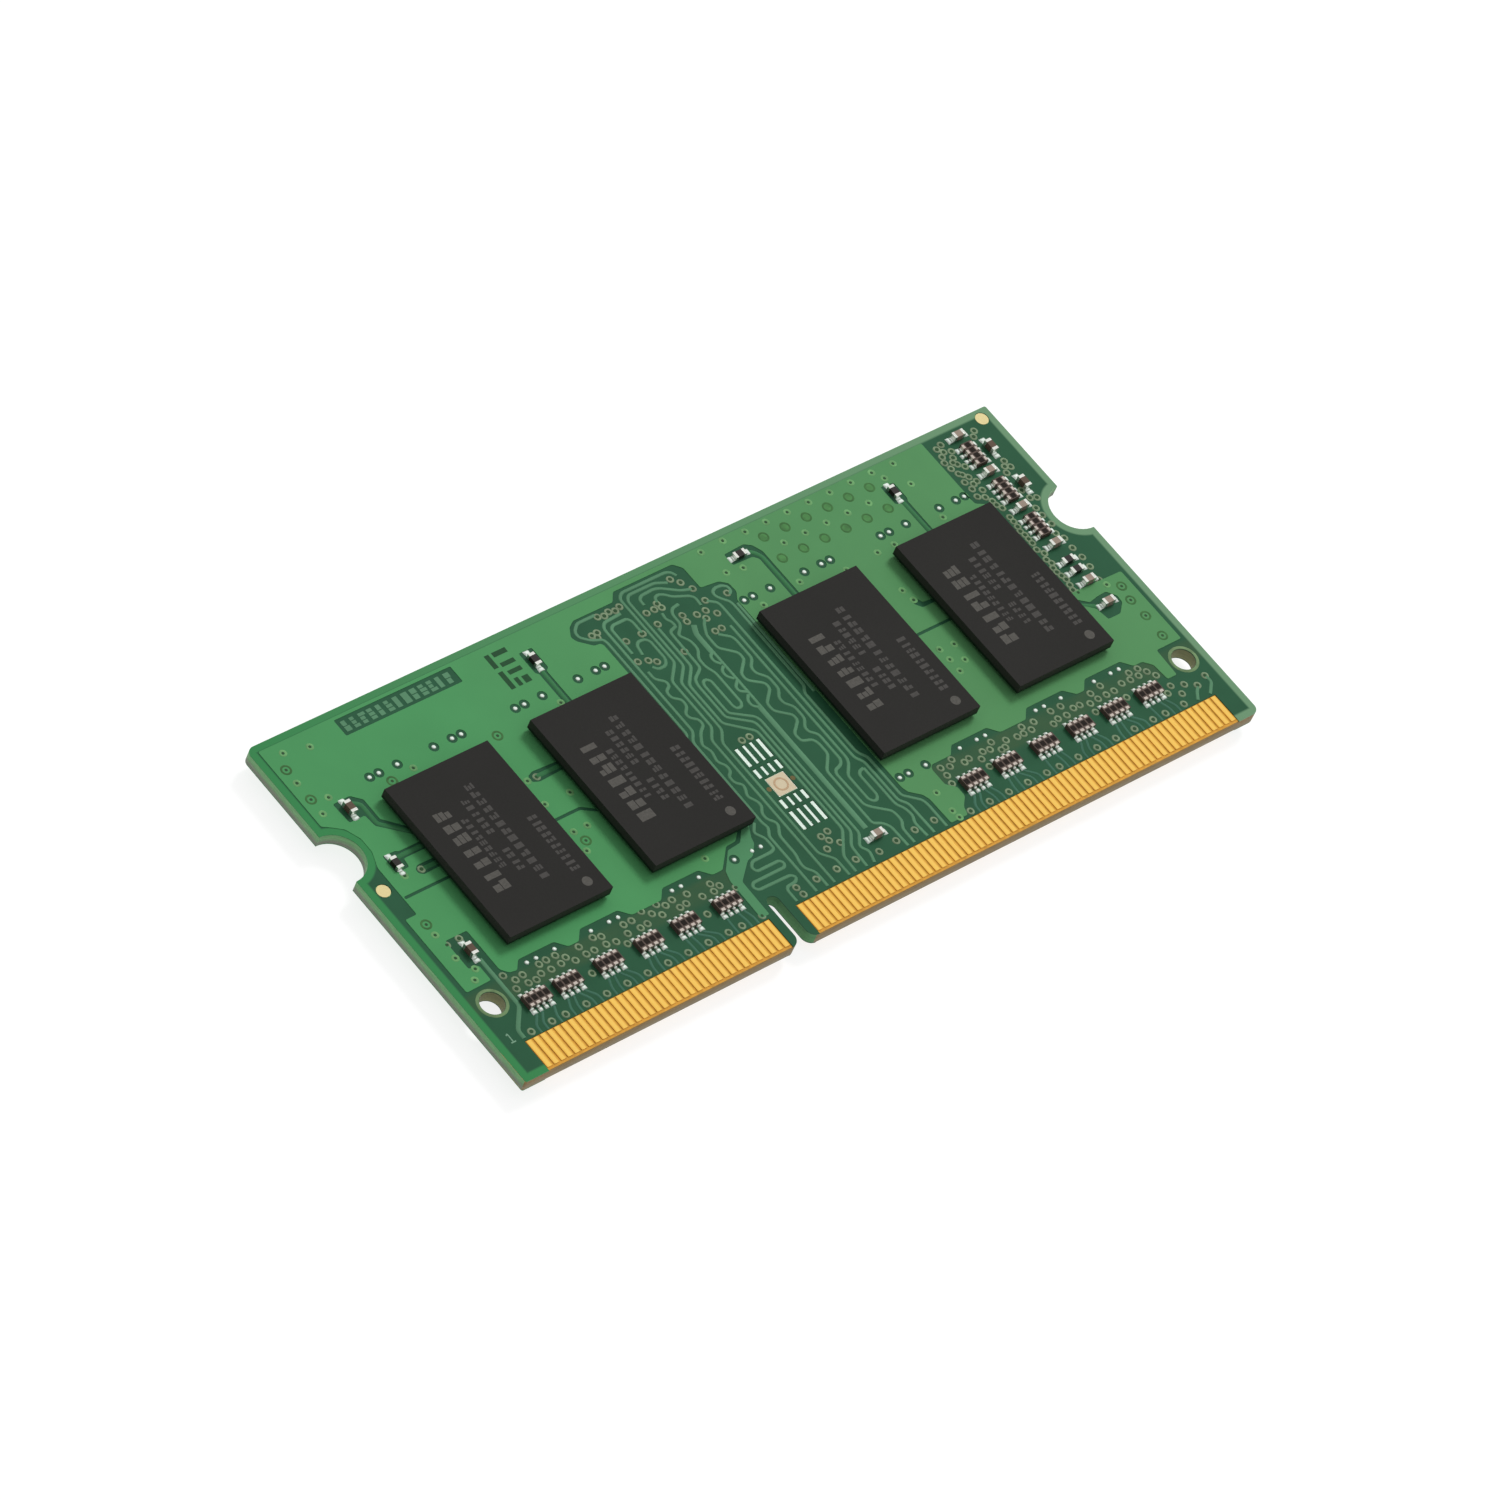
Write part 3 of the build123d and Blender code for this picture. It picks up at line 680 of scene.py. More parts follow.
# ---------------------------------------------------------------- copper pours under the mask
GROUND_POUR = [
    (0.62, 29.45), (37.65, 29.45), (60.9, 29.45), (60.9, 23.5), (61.8, 23.0), (61.9, 14.2), (66.7, 14.05),
    (66.7, 7.5), (64.3, 7.5), (64.2, 5.2), (63.3, 5.2), (63.2, 6.6), (62.6, 7.2), (61.8, 7.2), (61.1, 7.95),
    (57.7, 7.95), (57.0, 7.2), (56.3, 7.2), (55.5, 7.95), (52.1, 7.95), (51.4, 7.2), (49.0, 7.2),
    (48.3, 7.95), (45.0, 7.95), (44.4, 7.3), (42.6, 7.3), (42.35, 7.0), (42.35, 5.6), (43.0, 5.0),
    (43.0, 4.2), (42.3, 3.5), (42.1, 2.85), (40.55, 2.85), (40.5, 5.1), (40.3, 5.6), (39.5, 6.3),
    (39.35, 6.8), (39.35, 24.6), (39.8, 25.2), (39.75, 26.0), (39.2, 26.45), (37.65, 26.6), (37.65, 28.5),
    (37.1, 29.1), (31.7, 29.1), (31.1, 28.4), (27.5, 28.4), (26.9, 28.05), (26.45, 27.35), (26.6, 26.9),
    (27.5, 26.05), (28.0, 26.0), (28.15, 25.8), (28.15, 10.0), (26.7, 9.55), (25.7, 8.65), (24.8, 8.6),
    (23.3, 7.2), (22.4, 7.2), (21.7, 7.95), (18.5, 7.95), (17.8, 7.2), (15.2, 7.2), (14.5, 7.95),
    (11.2, 7.95), (10.5, 7.2), (9.6, 7.2), (8.9, 7.95), (5.8, 7.95), (5.2, 7.3), (4.6, 7.4), (4.15, 7.9),
    (4.15, 11.4), (2.3, 11.4), (2.3, 8.9), (3.1, 8.8), (3.1, 7.5), (0.95, 7.45), (0.95, 14.0), (1.95, 14.0),
    (1.95, 18.2), (2.45, 19.4), (2.45, 20.6), (1.95, 21.7), (1.0, 22.4), (0.62, 22.6)]
POWER_STRIP = [
    (27.6, 9.6), (27.2, 8.9), (26.9, 8.4), (26.75, 7.9), (25.95, 7.1), (25.4, 7.0), (23.9, 5.8),
    (23.85, 2.85), (23.1, 2.85), (23.15, 6.2), (23.4, 7.0), (24.7, 8.3), (25.9, 8.4), (26.7, 9.25)]
FEED_OPENINGS = [
    [(2.5, 23.7), (3.95, 23.75), (4.65, 23.1), (4.65, 21.3), (6.3, 19.7), (6.3, 18.95), (4.0, 21.0),
     (3.9, 22.0), (2.6, 22.0)],
    [(2.85, 18.8), (3.9, 18.75), (4.1, 18.62), (6.3, 18.62), (6.3, 18.0), (4.05, 18.0), (3.95, 17.3),
     (2.85, 17.3)],
    [(4.2, 16.9), (4.5, 17.15), (6.3, 17.15), (6.3, 16.4), (4.5, 16.35), (4.2, 16.6)],
    [(2.05, 15.3), (6.3, 15.3), (6.3, 15.52), (2.05, 15.52)],
    [(22.2, 27.9), (23.35, 27.9), (23.35, 26.05), (23.05, 25.9), (23.05, 22.9), (22.4, 22.9), (22.4, 25.9),
     (22.2, 26.05)],
    [(41.1, 28.1), (42.95, 28.2), (43.5, 27.85), (43.85, 27.1), (43.85, 22.9), (43.2, 22.9), (43.2, 26.7),
     (42.85, 27.05), (41.1, 27.1)],
    [(55.5, 27.7), (56.65, 27.6), (56.65, 26.1), (56.5, 25.9), (56.5, 22.9), (55.95, 22.9), (55.95, 25.9),
     (55.5, 26.05)],
    [(61.2, 13.7), (61.9, 13.6), (62.7, 12.95), (63.5, 13.1), (64.4, 13.15), (64.95, 12.5), (64.9, 11.9),
     (64.1, 11.2), (62.95, 11.2), (62.75, 12.3), (61.6, 13.3), (61.2, 13.3)],
    [(16.1, 19.45), (16.6, 19.65), (18.9, 19.55), (18.9, 18.85), (16.6, 18.75), (16.1, 18.95)],
    [(15.3, 15.62), (17.6, 15.62), (18.7, 14.9), (18.7, 15.2), (17.7, 15.85), (15.3, 15.85)],
    [(49.0, 16.3), (52.4, 16.3), (52.4, 16.52), (49.0, 16.52)],
    [(50.8, 18.6), (51.2, 18.1), (52.4, 18.1), (52.4, 18.4), (51.5, 18.45), (51.3, 18.9), (50.9, 18.95)]]
FEED_TRACES = [
    [(3.6, 23.3), (4.25, 22.9), (4.25, 21.1), (6.3, 19.25)],
    [(3.7, 18.3), (6.3, 18.3)],
    [(4.8, 16.75), (6.3, 16.75)],
    [(22.75, 26.3), (22.72, 22.9)],
    [(42.6, 27.6), (43.15, 27.4), (43.52, 26.8), (43.52, 22.9)],
    [(56.15, 26.2), (56.22, 22.9)],
    [(63.2, 12.3), (62.7, 12.6), (61.2, 13.5)],
    [(16.6, 19.2), (18.9, 19.2)]]


CODE_FIELD = (6.95, 27.8, 17.15, 29.2)      # the opening for the framed code, from corner to corner


def via_places():
    """The bright capped vias, in rows at both ends of each package."""
    return [(x + dx, y) for x in DRAM_X for dx in VIA_OFFSETS for y in VIA_ROWS_Y]


def in_pour_row(x, y):
    """Whether a bright via stands inside the ground pour, and so needs an opening in it."""
    return y > 20 or 39 < x < 43


def make_front_pours():
    low = FRONT - 0.01
    ground = [rounded_outline(GROUND_POUR, 0.15)]
    ground += [rounded_outline(opening, 0.12) for opening in FEED_OPENINGS]
    ground += [circle(x, y, VIA_CLEARANCE) for x, y in via_places() if in_pour_row(x, y)]
    ground.append(rounded_outline(bar(*CODE_FIELD), 0.1))
    filled("front_ground_pour", ground, low, POUR_TOP, POUR)
    via_in_strip = circle(DRAM_X[1] + VIA_OFFSETS[3], VIA_ROWS_Y[0], VIA_CLEARANCE)
    strip = [rounded_outline(POWER_STRIP, 0.15), via_in_strip]
    filled("front_power_strip", strip, low, POUR_TOP, POWER_MASK)
    ridges("front_feed_traces", FEED_TRACES, FEED_WIDTH, COPPER_RISE, FRONT, CHANNEL_TRACE)


# ---------------------------------------------------------------- address tracks down the middle
WIGGLE_LEFT = [
    (29.5, 22.6), (29.5, 21.9), (30.1, 21.4), (30.1, 21.0), (29.55, 20.7), (29.55, 20.1), (30.1, 19.7),
    (30.1, 19.1), (29.55, 18.6), (29.6, 18.2), (30.1, 17.8), (30.1, 17.3), (29.5, 16.9), (28.85, 16.0),
    (29.15, 15.3), (28.9, 14.4), (29.3, 13.9), (29.25, 13.35), (28.85, 13.1), (28.85, 12.5), (29.3, 12.1),
    (29.2, 11.7), (28.9, 11.2), (29.3, 10.5), (29.3, 10.1), (28.9, 9.6), (28.9, 9.1), (29.3, 8.6),
    (29.3, 8.3), (28.8, 7.6), (28.8, 5.9), (28.6, 5.2), (28.6, 4.7), (29.1, 4.1), (29.1, 2.8)]
WIGGLE_RIGHT = [
    (36.2, 24.4), (35.8, 24.0), (35.35, 23.2), (35.35, 22.0), (36.45, 21.0), (36.45, 20.4), (35.4, 19.5),
    (35.4, 18.9), (36.45, 18.1), (36.45, 17.6), (35.4, 16.7), (35.4, 16.0), (36.45, 15.1), (36.45, 14.6),
    (35.45, 13.8), (35.5, 13.1), (36.3, 12.85), (36.5, 12.4), (36.5, 11.4), (35.45, 10.3), (35.45, 5.4),
    (36.1, 5.1), (36.45, 4.6), (36.5, 2.8)]
WIGGLE_INNER = [
    (36.15, 22.9), (36.9, 22.3), (37.0, 21.9), (37.0, 20.2), (36.4, 19.6), (36.4, 19.1), (37.0, 18.4),
    (37.0, 17.3), (36.5, 16.7), (36.5, 16.2), (37.0, 15.6), (37.0, 14.5), (36.5, 13.9), (36.5, 13.5),
    (37.0, 13.0), (37.0, 10.6), (36.7, 10.25), (36.1, 10.1), (35.9, 9.8), (35.95, 6.9), (36.3, 6.5),
    (37.4, 5.6), (37.5, 5.2), (37.5, 4.6), (37.1, 4.1), (37.1, 2.8)]
SERPENTINE = [
    (27.9, 9.25), (27.3, 8.6), (27.75, 7.9), (27.75, 6.95), (27.4, 6.8), (25.6, 6.8), (25.25, 6.4),
    (25.4, 6.0), (27.4, 6.0), (27.6, 5.7), (27.4, 5.4), (24.5, 5.4), (24.25, 5.1), (24.5, 4.75),
    (27.3, 4.7), (27.6, 4.4), (27.3, 4.1), (26.5, 4.05), (26.3, 3.8), (26.3, 2.8)]
ADDRESS_TRACES = [
    WIGGLE_LEFT, WIGGLE_RIGHT, WIGGLE_INNER, SERPENTINE,
    [(29.2, 28.1), (27.6, 28.1), (27.0, 27.6), (26.95, 27.1), (27.6, 26.5), (28.4, 26.2), (28.5, 25.8),
     (28.5, 17.2), (28.2, 16.9)],
    [(31.0, 27.4), (29.4, 27.3), (29.05, 26.9), (29.05, 17.2), (28.45, 16.5), (28.4, 9.0), (28.55, 8.5),
     (28.1, 7.9), (28.1, 2.8)],
    [(31.3, 25.4), (31.3, 26.5), (31.1, 26.85), (29.8, 26.85), (29.5, 26.6), (29.5, 24.3)],
    [(30.1, 23.9), (30.25, 24.7), (30.55, 24.95), (31.1, 24.9), (31.35, 24.6), (31.35, 22.9), (31.0, 22.45),
     (30.3, 22.45), (30.05, 22.8)],
    [(36.8, 28.2), (36.6, 28.6), (36.2, 28.78), (32.2, 28.78), (31.75, 28.4), (31.75, 22.4), (30.5, 21.2),
     (30.5, 16.9), (29.75, 16.0), (29.75, 2.8)],
    [(35.8, 28.0), (34.9, 28.4), (32.5, 28.4), (32.15, 28.0), (32.15, 21.9), (31.0, 20.8), (31.0, 16.4),
     (30.3, 15.5), (30.3, 5.2), (31.1, 4.3), (31.1, 2.8)],
    [(32.6, 25.2), (32.6, 21.6), (31.4, 20.4), (31.4, 16.8), (33.2, 15.2), (33.2, 6.0), (31.75, 4.2),
     (31.7, 2.8)],
    [(33.9, 24.8), (33.15, 24.6), (33.1, 21.2), (32.1, 20.6), (31.95, 20.1), (31.95, 17.1), (33.5, 15.9),
     (33.62, 15.5), (33.62, 5.6), (32.8, 4.6), (32.7, 2.8)],
    [(33.7, 26.1), (33.6, 25.6), (33.85, 25.2), (33.85, 24.8)],
    [(35.3, 26.2), (34.6, 26.1), (34.3, 25.7), (34.3, 24.8), (33.9, 24.4), (33.5, 24.1), (34.0, 23.3),
     (34.0, 22.5), (33.5, 21.9), (33.5, 21.1), (33.8, 20.4), (33.8, 17.6), (33.6, 17.3), (33.2, 17.3),
     (33.05, 17.6), (33.05, 20.0), (32.8, 20.25), (32.5, 20.2), (32.35, 19.9), (32.35, 17.3), (33.9, 16.2),
     (34.05, 15.8), (34.05, 5.2), (33.3, 4.3), (33.7, 3.7), (33.4, 2.8)],
    [(38.0, 9.3), (37.6, 9.25), (37.35, 9.0), (37.35, 7.1), (37.1, 6.8), (36.8, 6.8), (36.55, 7.1),
     (36.55, 9.3), (37.3, 10.1), (37.48, 10.5), (37.45, 23.1)],
    [(37.2, 25.6), (37.9, 25.1), (38.0, 24.8), (38.0, 10.3), (38.4, 9.7), (38.42, 6.1), (38.9, 5.5),
     (38.95, 2.8)],
    [(38.0, 9.3), (38.02, 5.9), (38.4, 5.3), (38.5, 4.6), (38.2, 4.1), (38.3, 2.8)],
    [(39.2, 25.25), (39.5, 25.45), (39.5, 25.85), (39.15, 26.1), (38.6, 26.15), (38.2, 25.95),
     (38.15, 25.6), (38.4, 25.2), (38.8, 24.75), (38.87, 24.4), (38.85, 16.7), (38.45, 16.2), (38.45, 10.6),
     (38.9, 9.9), (38.9, 6.3), (40.0, 5.3), (40.1, 4.8), (40.1, 2.8)],
    [(37.0, 26.8), (36.2, 27.05), (35.0, 27.85), (34.5, 28.02), (33.3, 27.95), (33.0, 27.7), (33.0, 27.2)],
    [(36.7, 25.4), (36.75, 26.1), (36.5, 26.4), (35.3, 26.9), (34.9, 27.3), (34.5, 27.5), (34.1, 27.4),
     (34.0, 27.0)],
    [(34.84, 22.0), (34.84, 16.5)],
    [(34.9, 21.9), (34.4, 21.7), (34.35, 21.2), (34.7, 20.8)],
    [(34.7, 20.6), (34.3, 20.3), (34.3, 19.8), (34.7, 19.4)],
    [(34.8, 19.2), (34.3, 18.8), (34.3, 18.4), (34.8, 18.1)],
    [(34.7, 17.9), (34.3, 17.5), (34.3, 17.0), (34.7, 16.7)],
    [(64.1, 2.8), (64.55, 3.4), (64.9, 3.7)],
    [(65.3, 2.8), (66.15, 3.6), (66.05, 4.2)],
    [(39.2, 24.4), (39.2, 16.0)]]
WIDE_TRACES = [
    [(35.1, 24.3), (34.75, 23.6), (34.75, 21.8)],
    [(34.75, 16.7), (34.75, 5.3)]]
SUPPLY_TRACE = [(3.52, 9.2), (3.52, 5.0), (2.15, 3.5), (2.15, 2.8)]
# the contacts that each array's four resistors lead to, from left to right
DATA_CONTACTS = [
    (3.5, 4.1, None, 5.3), (6.5, 7.1, 8.3, 8.9), (10.1, 10.7, 11.9, 12.5), (13.7, 14.3, 15.5, 16.1),
    (17.3, 17.9, 19.1, 19.7), (20.9, None, 22.1, 22.7), (43.1, 43.7, 44.9, 45.5), (46.7, 47.3, 48.5, 49.1),
    (50.3, None, 51.5, 52.1), (53.3, 53.9, 55.1, 55.7), (56.9, 57.5, 58.7, 59.3), (60.5, None, 61.7, 62.3)]
GROUND_CONTACTS = [
    2.9, 4.7, 5.9, 7.7, 9.5, 11.3, 13.1, 14.9, 16.7, 18.5, 20.3, 21.5, 23.3, 42.5, 44.3, 46.1, 47.9, 49.7,
    50.9, 52.7, 54.5, 56.3, 58.1, 59.9, 61.1, 62.9]


def contact_x():
    """The middle of every gold contact along one face."""
    first_right = LEFT_CONTACTS + SKIPPED_CONTACTS
    numbers = [*range(LEFT_CONTACTS), *range(first_right, first_right + RIGHT_CONTACTS)]
    return [CONTACT_START + CONTACT_PITCH * k for k in numbers]


def array_offsets():
    """The four resistors of an array, from its middle."""
    return [ARRAY_PITCH * (k - 1.5) for k in range(4)]


def contact_fanout():
    """Short tracks from each data resistor down to its own contact."""
    routes = []
    for x, contacts in zip(ARRAY_X, DATA_CONTACTS):
        for dx, contact in zip(array_offsets(), contacts):
            if contact:
                routes.append([(x + dx, 4.2), (x + dx, 3.9), (contact, 3.2), (contact, 2.6)])
    return routes


def make_front_traces():
    ridges("address_traces", ADDRESS_TRACES, TRACE_WIDTH, COPPER_RISE, FRONT, TRACE)
    ridges("address_trunks", WIDE_TRACES, TRUNK_WIDTH, COPPER_RISE - 0.003, FRONT, TRACE)
    ridges("supply_trace", [SUPPLY_TRACE], SUPPLY_WIDTH, COPPER_RISE, FRONT, TRACE)
    ridges("contact_fanout_front", contact_fanout(), FANOUT_WIDTH, THIN_RISE, FRONT, FANOUT)


# ---------------------------------------------------------------- vias
LEFT_VIAS = [
    (2.1, 28.6), (1.4, 26.2), (2.6, 24.3), (1.4, 23.4), (4.1, 28.2), (9.4, 23.6), (2.0, 12.1), (2.05, 10.0),
    (2.1, 8.0), (2.7, 8.7), (17.2, 14.4), (16.0, 14.4), (15.8, 12.75), (17.9, 17.1), (15.67, 17.1),
    (15.83, 19.17), (22.8, 8.5), (22.2, 23.3), (3.2, 16.85)]
OUTLINED_VIAS = [
    (1.42, 27.4), (1.42, 24.7), (7.4, 23.4), (16.4, 23.1), (2.0, 13.05), (16.3, 13.45), (65.83, 13.0),
    (65.6, 11.75), (65.67, 10.2), (65.6, 8.3)]
RIGHT_VIAS = [
    (41.6, 26.6), (40.2, 26.8), (44.5, 23.8), (40.8, 23.4), (48.3, 23.1), (51.4, 23.3), (53.0, 23.3),
    (57.9, 23.6), (56.3, 28.2), (64.9, 13.6), (49.8, 14.7), (51.1, 14.6), (49.9, 13.7), (49.9, 12.6),
    (50.9, 13.2), (50.8, 19.9), (51.0, 18.9), (41.3, 5.3), (41.3, 3.6), (41.4, 2.95)]
CHANNEL_VIAS = [
    (29.3, 27.9), (29.8, 27.75), (30.3, 27.9), (30.8, 27.75), (31.3, 27.9), (27.9, 26.8), (28.4, 26.85),
    (28.15, 26.5), (32.7, 26.6), (33.4, 26.6), (34.0, 26.5), (32.8, 25.5), (31.3, 25.35), (29.4, 23.6),
    (30.15, 23.35), (30.65, 23.0), (36.15, 28.15), (36.65, 27.6), (37.1, 26.8), (37.25, 25.6), (36.7, 24.9),
    (35.9, 24.9), (34.85, 24.75), (36.3, 24.35), (37.3, 24.35), (36.15, 23.2), (36.75, 23.2), (39.1, 25.4),
    (31.7, 15.05), (32.4, 15.05), (31.4, 6.2), (32.1, 6.35), (31.7, 5.7), (32.3, 5.2), (31.1, 5.2),
    (27.0, 3.7), (28.75, 3.6), (30.6, 3.6), (32.35, 3.6), (34.3, 3.35), (36.0, 3.5), (37.8, 3.6),
    (39.6, 3.6), (27.1, 3.05), (33.0, 22.8), (29.8, 25.35), (31.2, 25.35), (34.9, 25.3), (33.9, 26.9),
    (3.3, 11.15), (2.2, 11.1), (66.05, 4.2), (64.95, 3.8), (63.4, 3.75), (64.1, 4.3), (62.45, 4.25),
    (63.1, 4.65), (16.65, 19.17), (4.6, 16.77)]
COLUMN_VIAS = [
    (61.6, 28.5), (62.15, 28.7), (61.5, 27.8), (62.2, 27.4), (61.4, 26.7), (61.6, 26.1), (62.5, 26.4),
    (62.1, 25.55), (62.4, 25.0), (61.6, 24.6), (62.25, 24.2), (61.5, 23.9), (62.25, 23.1), (62.45, 21.4),
    (62.4, 20.5), (62.4, 19.7), (62.3, 18.3), (62.35, 17.3), (62.3, 16.5), (62.4, 15.7), (62.4, 14.8),
    (65.3, 28.6), (65.5, 25.5), (65.2, 25.1), (64.8, 20.5), (64.9, 18.2), (64.85, 17.25), (64.95, 16.3),
    (64.9, 15.4), (61.9, 28.1), (62.5, 27.9), (62.3, 22.7), (62.45, 21.0), (62.3, 20.1), (62.4, 19.3),
    (62.6, 17.8), (62.5, 16.9), (62.3, 16.1), (62.5, 15.3), (62.3, 14.35), (61.8, 25.9), (62.1, 26.8),
    (61.3, 27.3), (62.0, 23.6), (65.6, 24.9), (64.9, 19.6), (64.8, 21.2), (64.9, 22.9), (61.9, 27.05),
    (62.0, 24.9), (61.5, 25.3), (64.9, 28.2), (65.0, 22.1), (65.5, 21.9), (64.95, 24.6), (62.5, 22.3),
    (62.4, 18.9), (64.6, 18.8), (64.7, 14.2), (62.5, 14.0)]
GRID_LEFT_X = 45.75
GRID_STEP = 2.0
# the vias above the data resistor arrays
CLUSTER_VIAS = [
    (4.05, 7.4), (4.6, 6.75), (5.3, 6.85), (4.2, 6.15), (5.25, 6.15), (5.9, 6.1), (6.5, 6.35), (6.85, 7.0),
    (7.5, 7.05), (7.35, 6.3), (8.3, 7.05), (8.85, 6.6), (8.25, 6.35), (9.3, 6.1), (10.2, 6.85),
    (10.3, 6.15), (11.0, 6.15), (11.55, 7.0), (12.15, 6.8), (12.05, 6.15), (12.8, 6.0), (13.4, 5.5),
    (14.15, 6.85), (14.85, 6.85), (13.95, 6.15), (15.05, 6.1), (15.7, 6.15), (15.95, 7.15), (16.5, 6.65),
    (17.25, 7.1), (17.8, 6.75), (18.5, 6.9), (17.1, 6.25), (18.6, 6.15), (19.2, 6.2), (19.75, 6.8),
    (19.95, 4.85), (20.6, 6.15), (21.75, 6.7), (21.6, 6.1), (22.25, 6.3), (9.65, 4.75), (23.2, 5.65),
    (43.0, 6.8), (44.2, 7.0), (43.0, 6.1), (42.85, 5.4), (43.7, 6.6), (44.9, 6.4), (45.4, 6.5),
    (46.2, 6.05), (46.3, 5.3), (46.7, 6.5), (47.3, 6.4), (47.8, 6.85), (48.9, 6.5), (48.45, 6.05),
    (48.05, 6.0), (49.85, 6.35), (50.7, 6.85), (50.45, 6.35), (51.2, 6.35), (51.8, 6.8), (53.0, 6.0),
    (53.55, 6.95), (54.5, 6.95), (53.6, 6.2), (54.4, 6.15), (55.25, 6.4), (55.85, 6.4), (57.25, 6.8),
    (58.35, 7.0), (56.65, 6.15), (57.45, 6.2), (58.25, 6.2), (59.0, 6.2), (59.95, 6.45), (56.5, 5.4),
    (59.45, 5.35), (61.05, 6.9), (61.9, 6.9), (60.75, 6.4), (61.55, 6.4), (62.35, 6.4), (62.75, 5.85)]


def cluster_vias():
    """The vias above the data resistor arrays, and those just above the grounded contacts."""
    return CLUSTER_VIAS + [(x, 3.0) for x in GROUND_CONTACTS]


def stitching_vias():
    """The staggered grid of ground vias between the upper edge and the right-hand packages."""
    upper = [(GRID_LEFT_X + GRID_STEP * k, y) for y in (29.0, 27.0) for k in range(5)]
    upper += [(41.8, 29.1), (43.8, 29.0), (55.75, 29.0), (57.75, 28.95), (57.75, 26.95), (39.7, 29.0)]
    return upper


def buried_vias():
    """Ground vias tented under the mask, which show as dull olive spots."""
    return [(GRID_LEFT_X - 1.0 + GRID_STEP * k, y) for y in (28.05, 26.0) for k in range(6)]


def ring_profile(face, rise, up=1):
    """A mask-covered annular ring with a dimple at its drilled middle."""
    return [(VIA_RING_RADIUS, face), (0.27, face + up * rise), (0.17, face + up * rise * 0.9),
            (0.12, face + up * 0.004), (0.0, face)]


def make_front_vias():
    in_dark = CHANNEL_VIAS + COLUMN_VIAS + cluster_vias()
    in_pour = LEFT_VIAS + RIGHT_VIAS + stitching_vias()
    on_dark = ring_profile(FRONT, COPPER_RISE)
    on_pour = ring_profile(POUR_TOP - 0.005, 0.02)
    turned("via_rings_in_channels", in_dark, on_dark, RING, 14)
    turned("via_rings_in_pour", in_pour, on_pour, RING_GREEN, 14)
    low = POUR_TOP - 0.004
    high = POUR_TOP + 0.01
    tent = [(0.46, low), (0.38, POUR_TOP + 0.008), (0.15, POUR_TOP + 0.006), (0.0, POUR_TOP)]
    turned("tented_vias", buried_vias(), tent, TENTED, 16)
    outline = [(0.43, low), (0.39, high), (0.28, high), (0.25, low), (0.43, low)]
    turned("via_outlines", OUTLINED_VIAS + buried_vias(), outline, RING_DARK, 20)
    pits = in_dark + in_pour + OUTLINED_VIAS
    pit = [(0.15, FRONT + 0.003), (0.15, FRONT + 0.029), (0.0, FRONT + 0.034)]
    turned("via_pits", pits, pit, VIA_PIT, 8)
    cap = [(0.17, -0.01), (0.17, 0.02), (0.13, 0.06), (0.07, 0.08), (0.0, 0.085)]
    cap = [(radius, FRONT + height) for radius, height in cap]
    turned("solder_caps_front", via_places(), cap, SOLDER, 14)
    turned("solder_caps_back", via_places(), mirrored(cap), SOLDER, 14)


# ---------------------------------------------------------------- solder joints
# each joint: (distance outward from the terminal's end, share of the height)
JOINT_PROFILE = [(-0.03, 0.34), (0.03, 0.2), (0.09, 0.13), (0.14, 0.2), (0.21, 0.32), (0.31, 0.33),
                 (0.39, 0.22), (0.46, 0.02)]
JOINT_SECTION = [(-1.0, 0.0), (-0.78, 0.62), (-0.35, 0.94), (0.35, 0.94), (0.78, 0.62), (1.0, 0.0)]
BEAD_START = 0.15               # the bead is at its full width from here outward
NECK_SHARE = 0.85
UPPER_PAD_SHARE = 0.72          # the pads on an array's upper side are shorter and narrower
# an array's joints: (distance from its middle, width), wide ones outside and narrow ones inside
ARRAY_JOINTS = [(0.79, 0.44), (0.25, 0.32)]


def add_joint(shape, x, y, outward, share, width, height, face, up):
    """One solder joint: it climbs the terminal's end and runs out as a rounded bead over its pad."""
    out = Vector(outward)
    side = Vector((-out.y, out.x))
    rows = []
    for reach, lift in JOINT_PROFILE:
        spread = width * share / 2 * (NECK_SHARE if reach < BEAD_START else 1.0)
        row = []
        for across, level in JOINT_SECTION:
            point = Vector((x, y)) + out * reach * share + side * (across * spread)
            row.append(shape.verts.new(spot(point.x, point.y, face + up * (height * lift * level + 0.004))))
        rows.append(row)
    skin(shape, rows)


def array_joints(x, y, along_y, offset):
    """Where an array's four joints at an offset from its middle are, the way each faces and its share."""
    joints = []
    for along in (-offset, offset):
        for side in (-1, 1):
            if along_y:
                joints.append((x + side * ARRAY_HALF_WIDTH, y + along, (side, 0), 1.0))
            else:
                share = UPPER_PAD_SHARE if side == 1 else 1.0
                joints.append((x + along, y + side * ARRAY_HALF_WIDTH, (0, side), share))
    return joints


def array_groups(places):
    """Groups of (joints, width, height) for the arrays at the given places."""
    return [(array_joints(x, y, along_y, offset), width, ARRAY_HEIGHT)
            for x, y, along_y in places for offset, width in ARRAY_JOINTS]


def chip_groups(places, length, width, height):
    """Groups of (joints, width, height) for single chip parts of one size."""
    groups = []
    for x, y, along_y in places:
        dx, dy = (0, length / 2) if along_y else (length / 2, 0)
        way_x, way_y = (0, 1) if along_y else (1, 0)
        joints = [(x + side * dx, y + side * dy, (side * way_x, side * way_y), 1.0) for side in (-1, 1)]
        groups.append((joints, width, height))
    return groups


def joints_piece(name, groups, face, up):
    """One mesh of solder joints from groups of (joints, width, height)."""
    def build(shape):
        for joints, width, height in groups:
            for x, y, outward, share in joints:
                add_joint(shape, x, y, outward, share, width, height, face, up)
    return mesh_piece(name, build, SOLDER, smooth_angle=60)


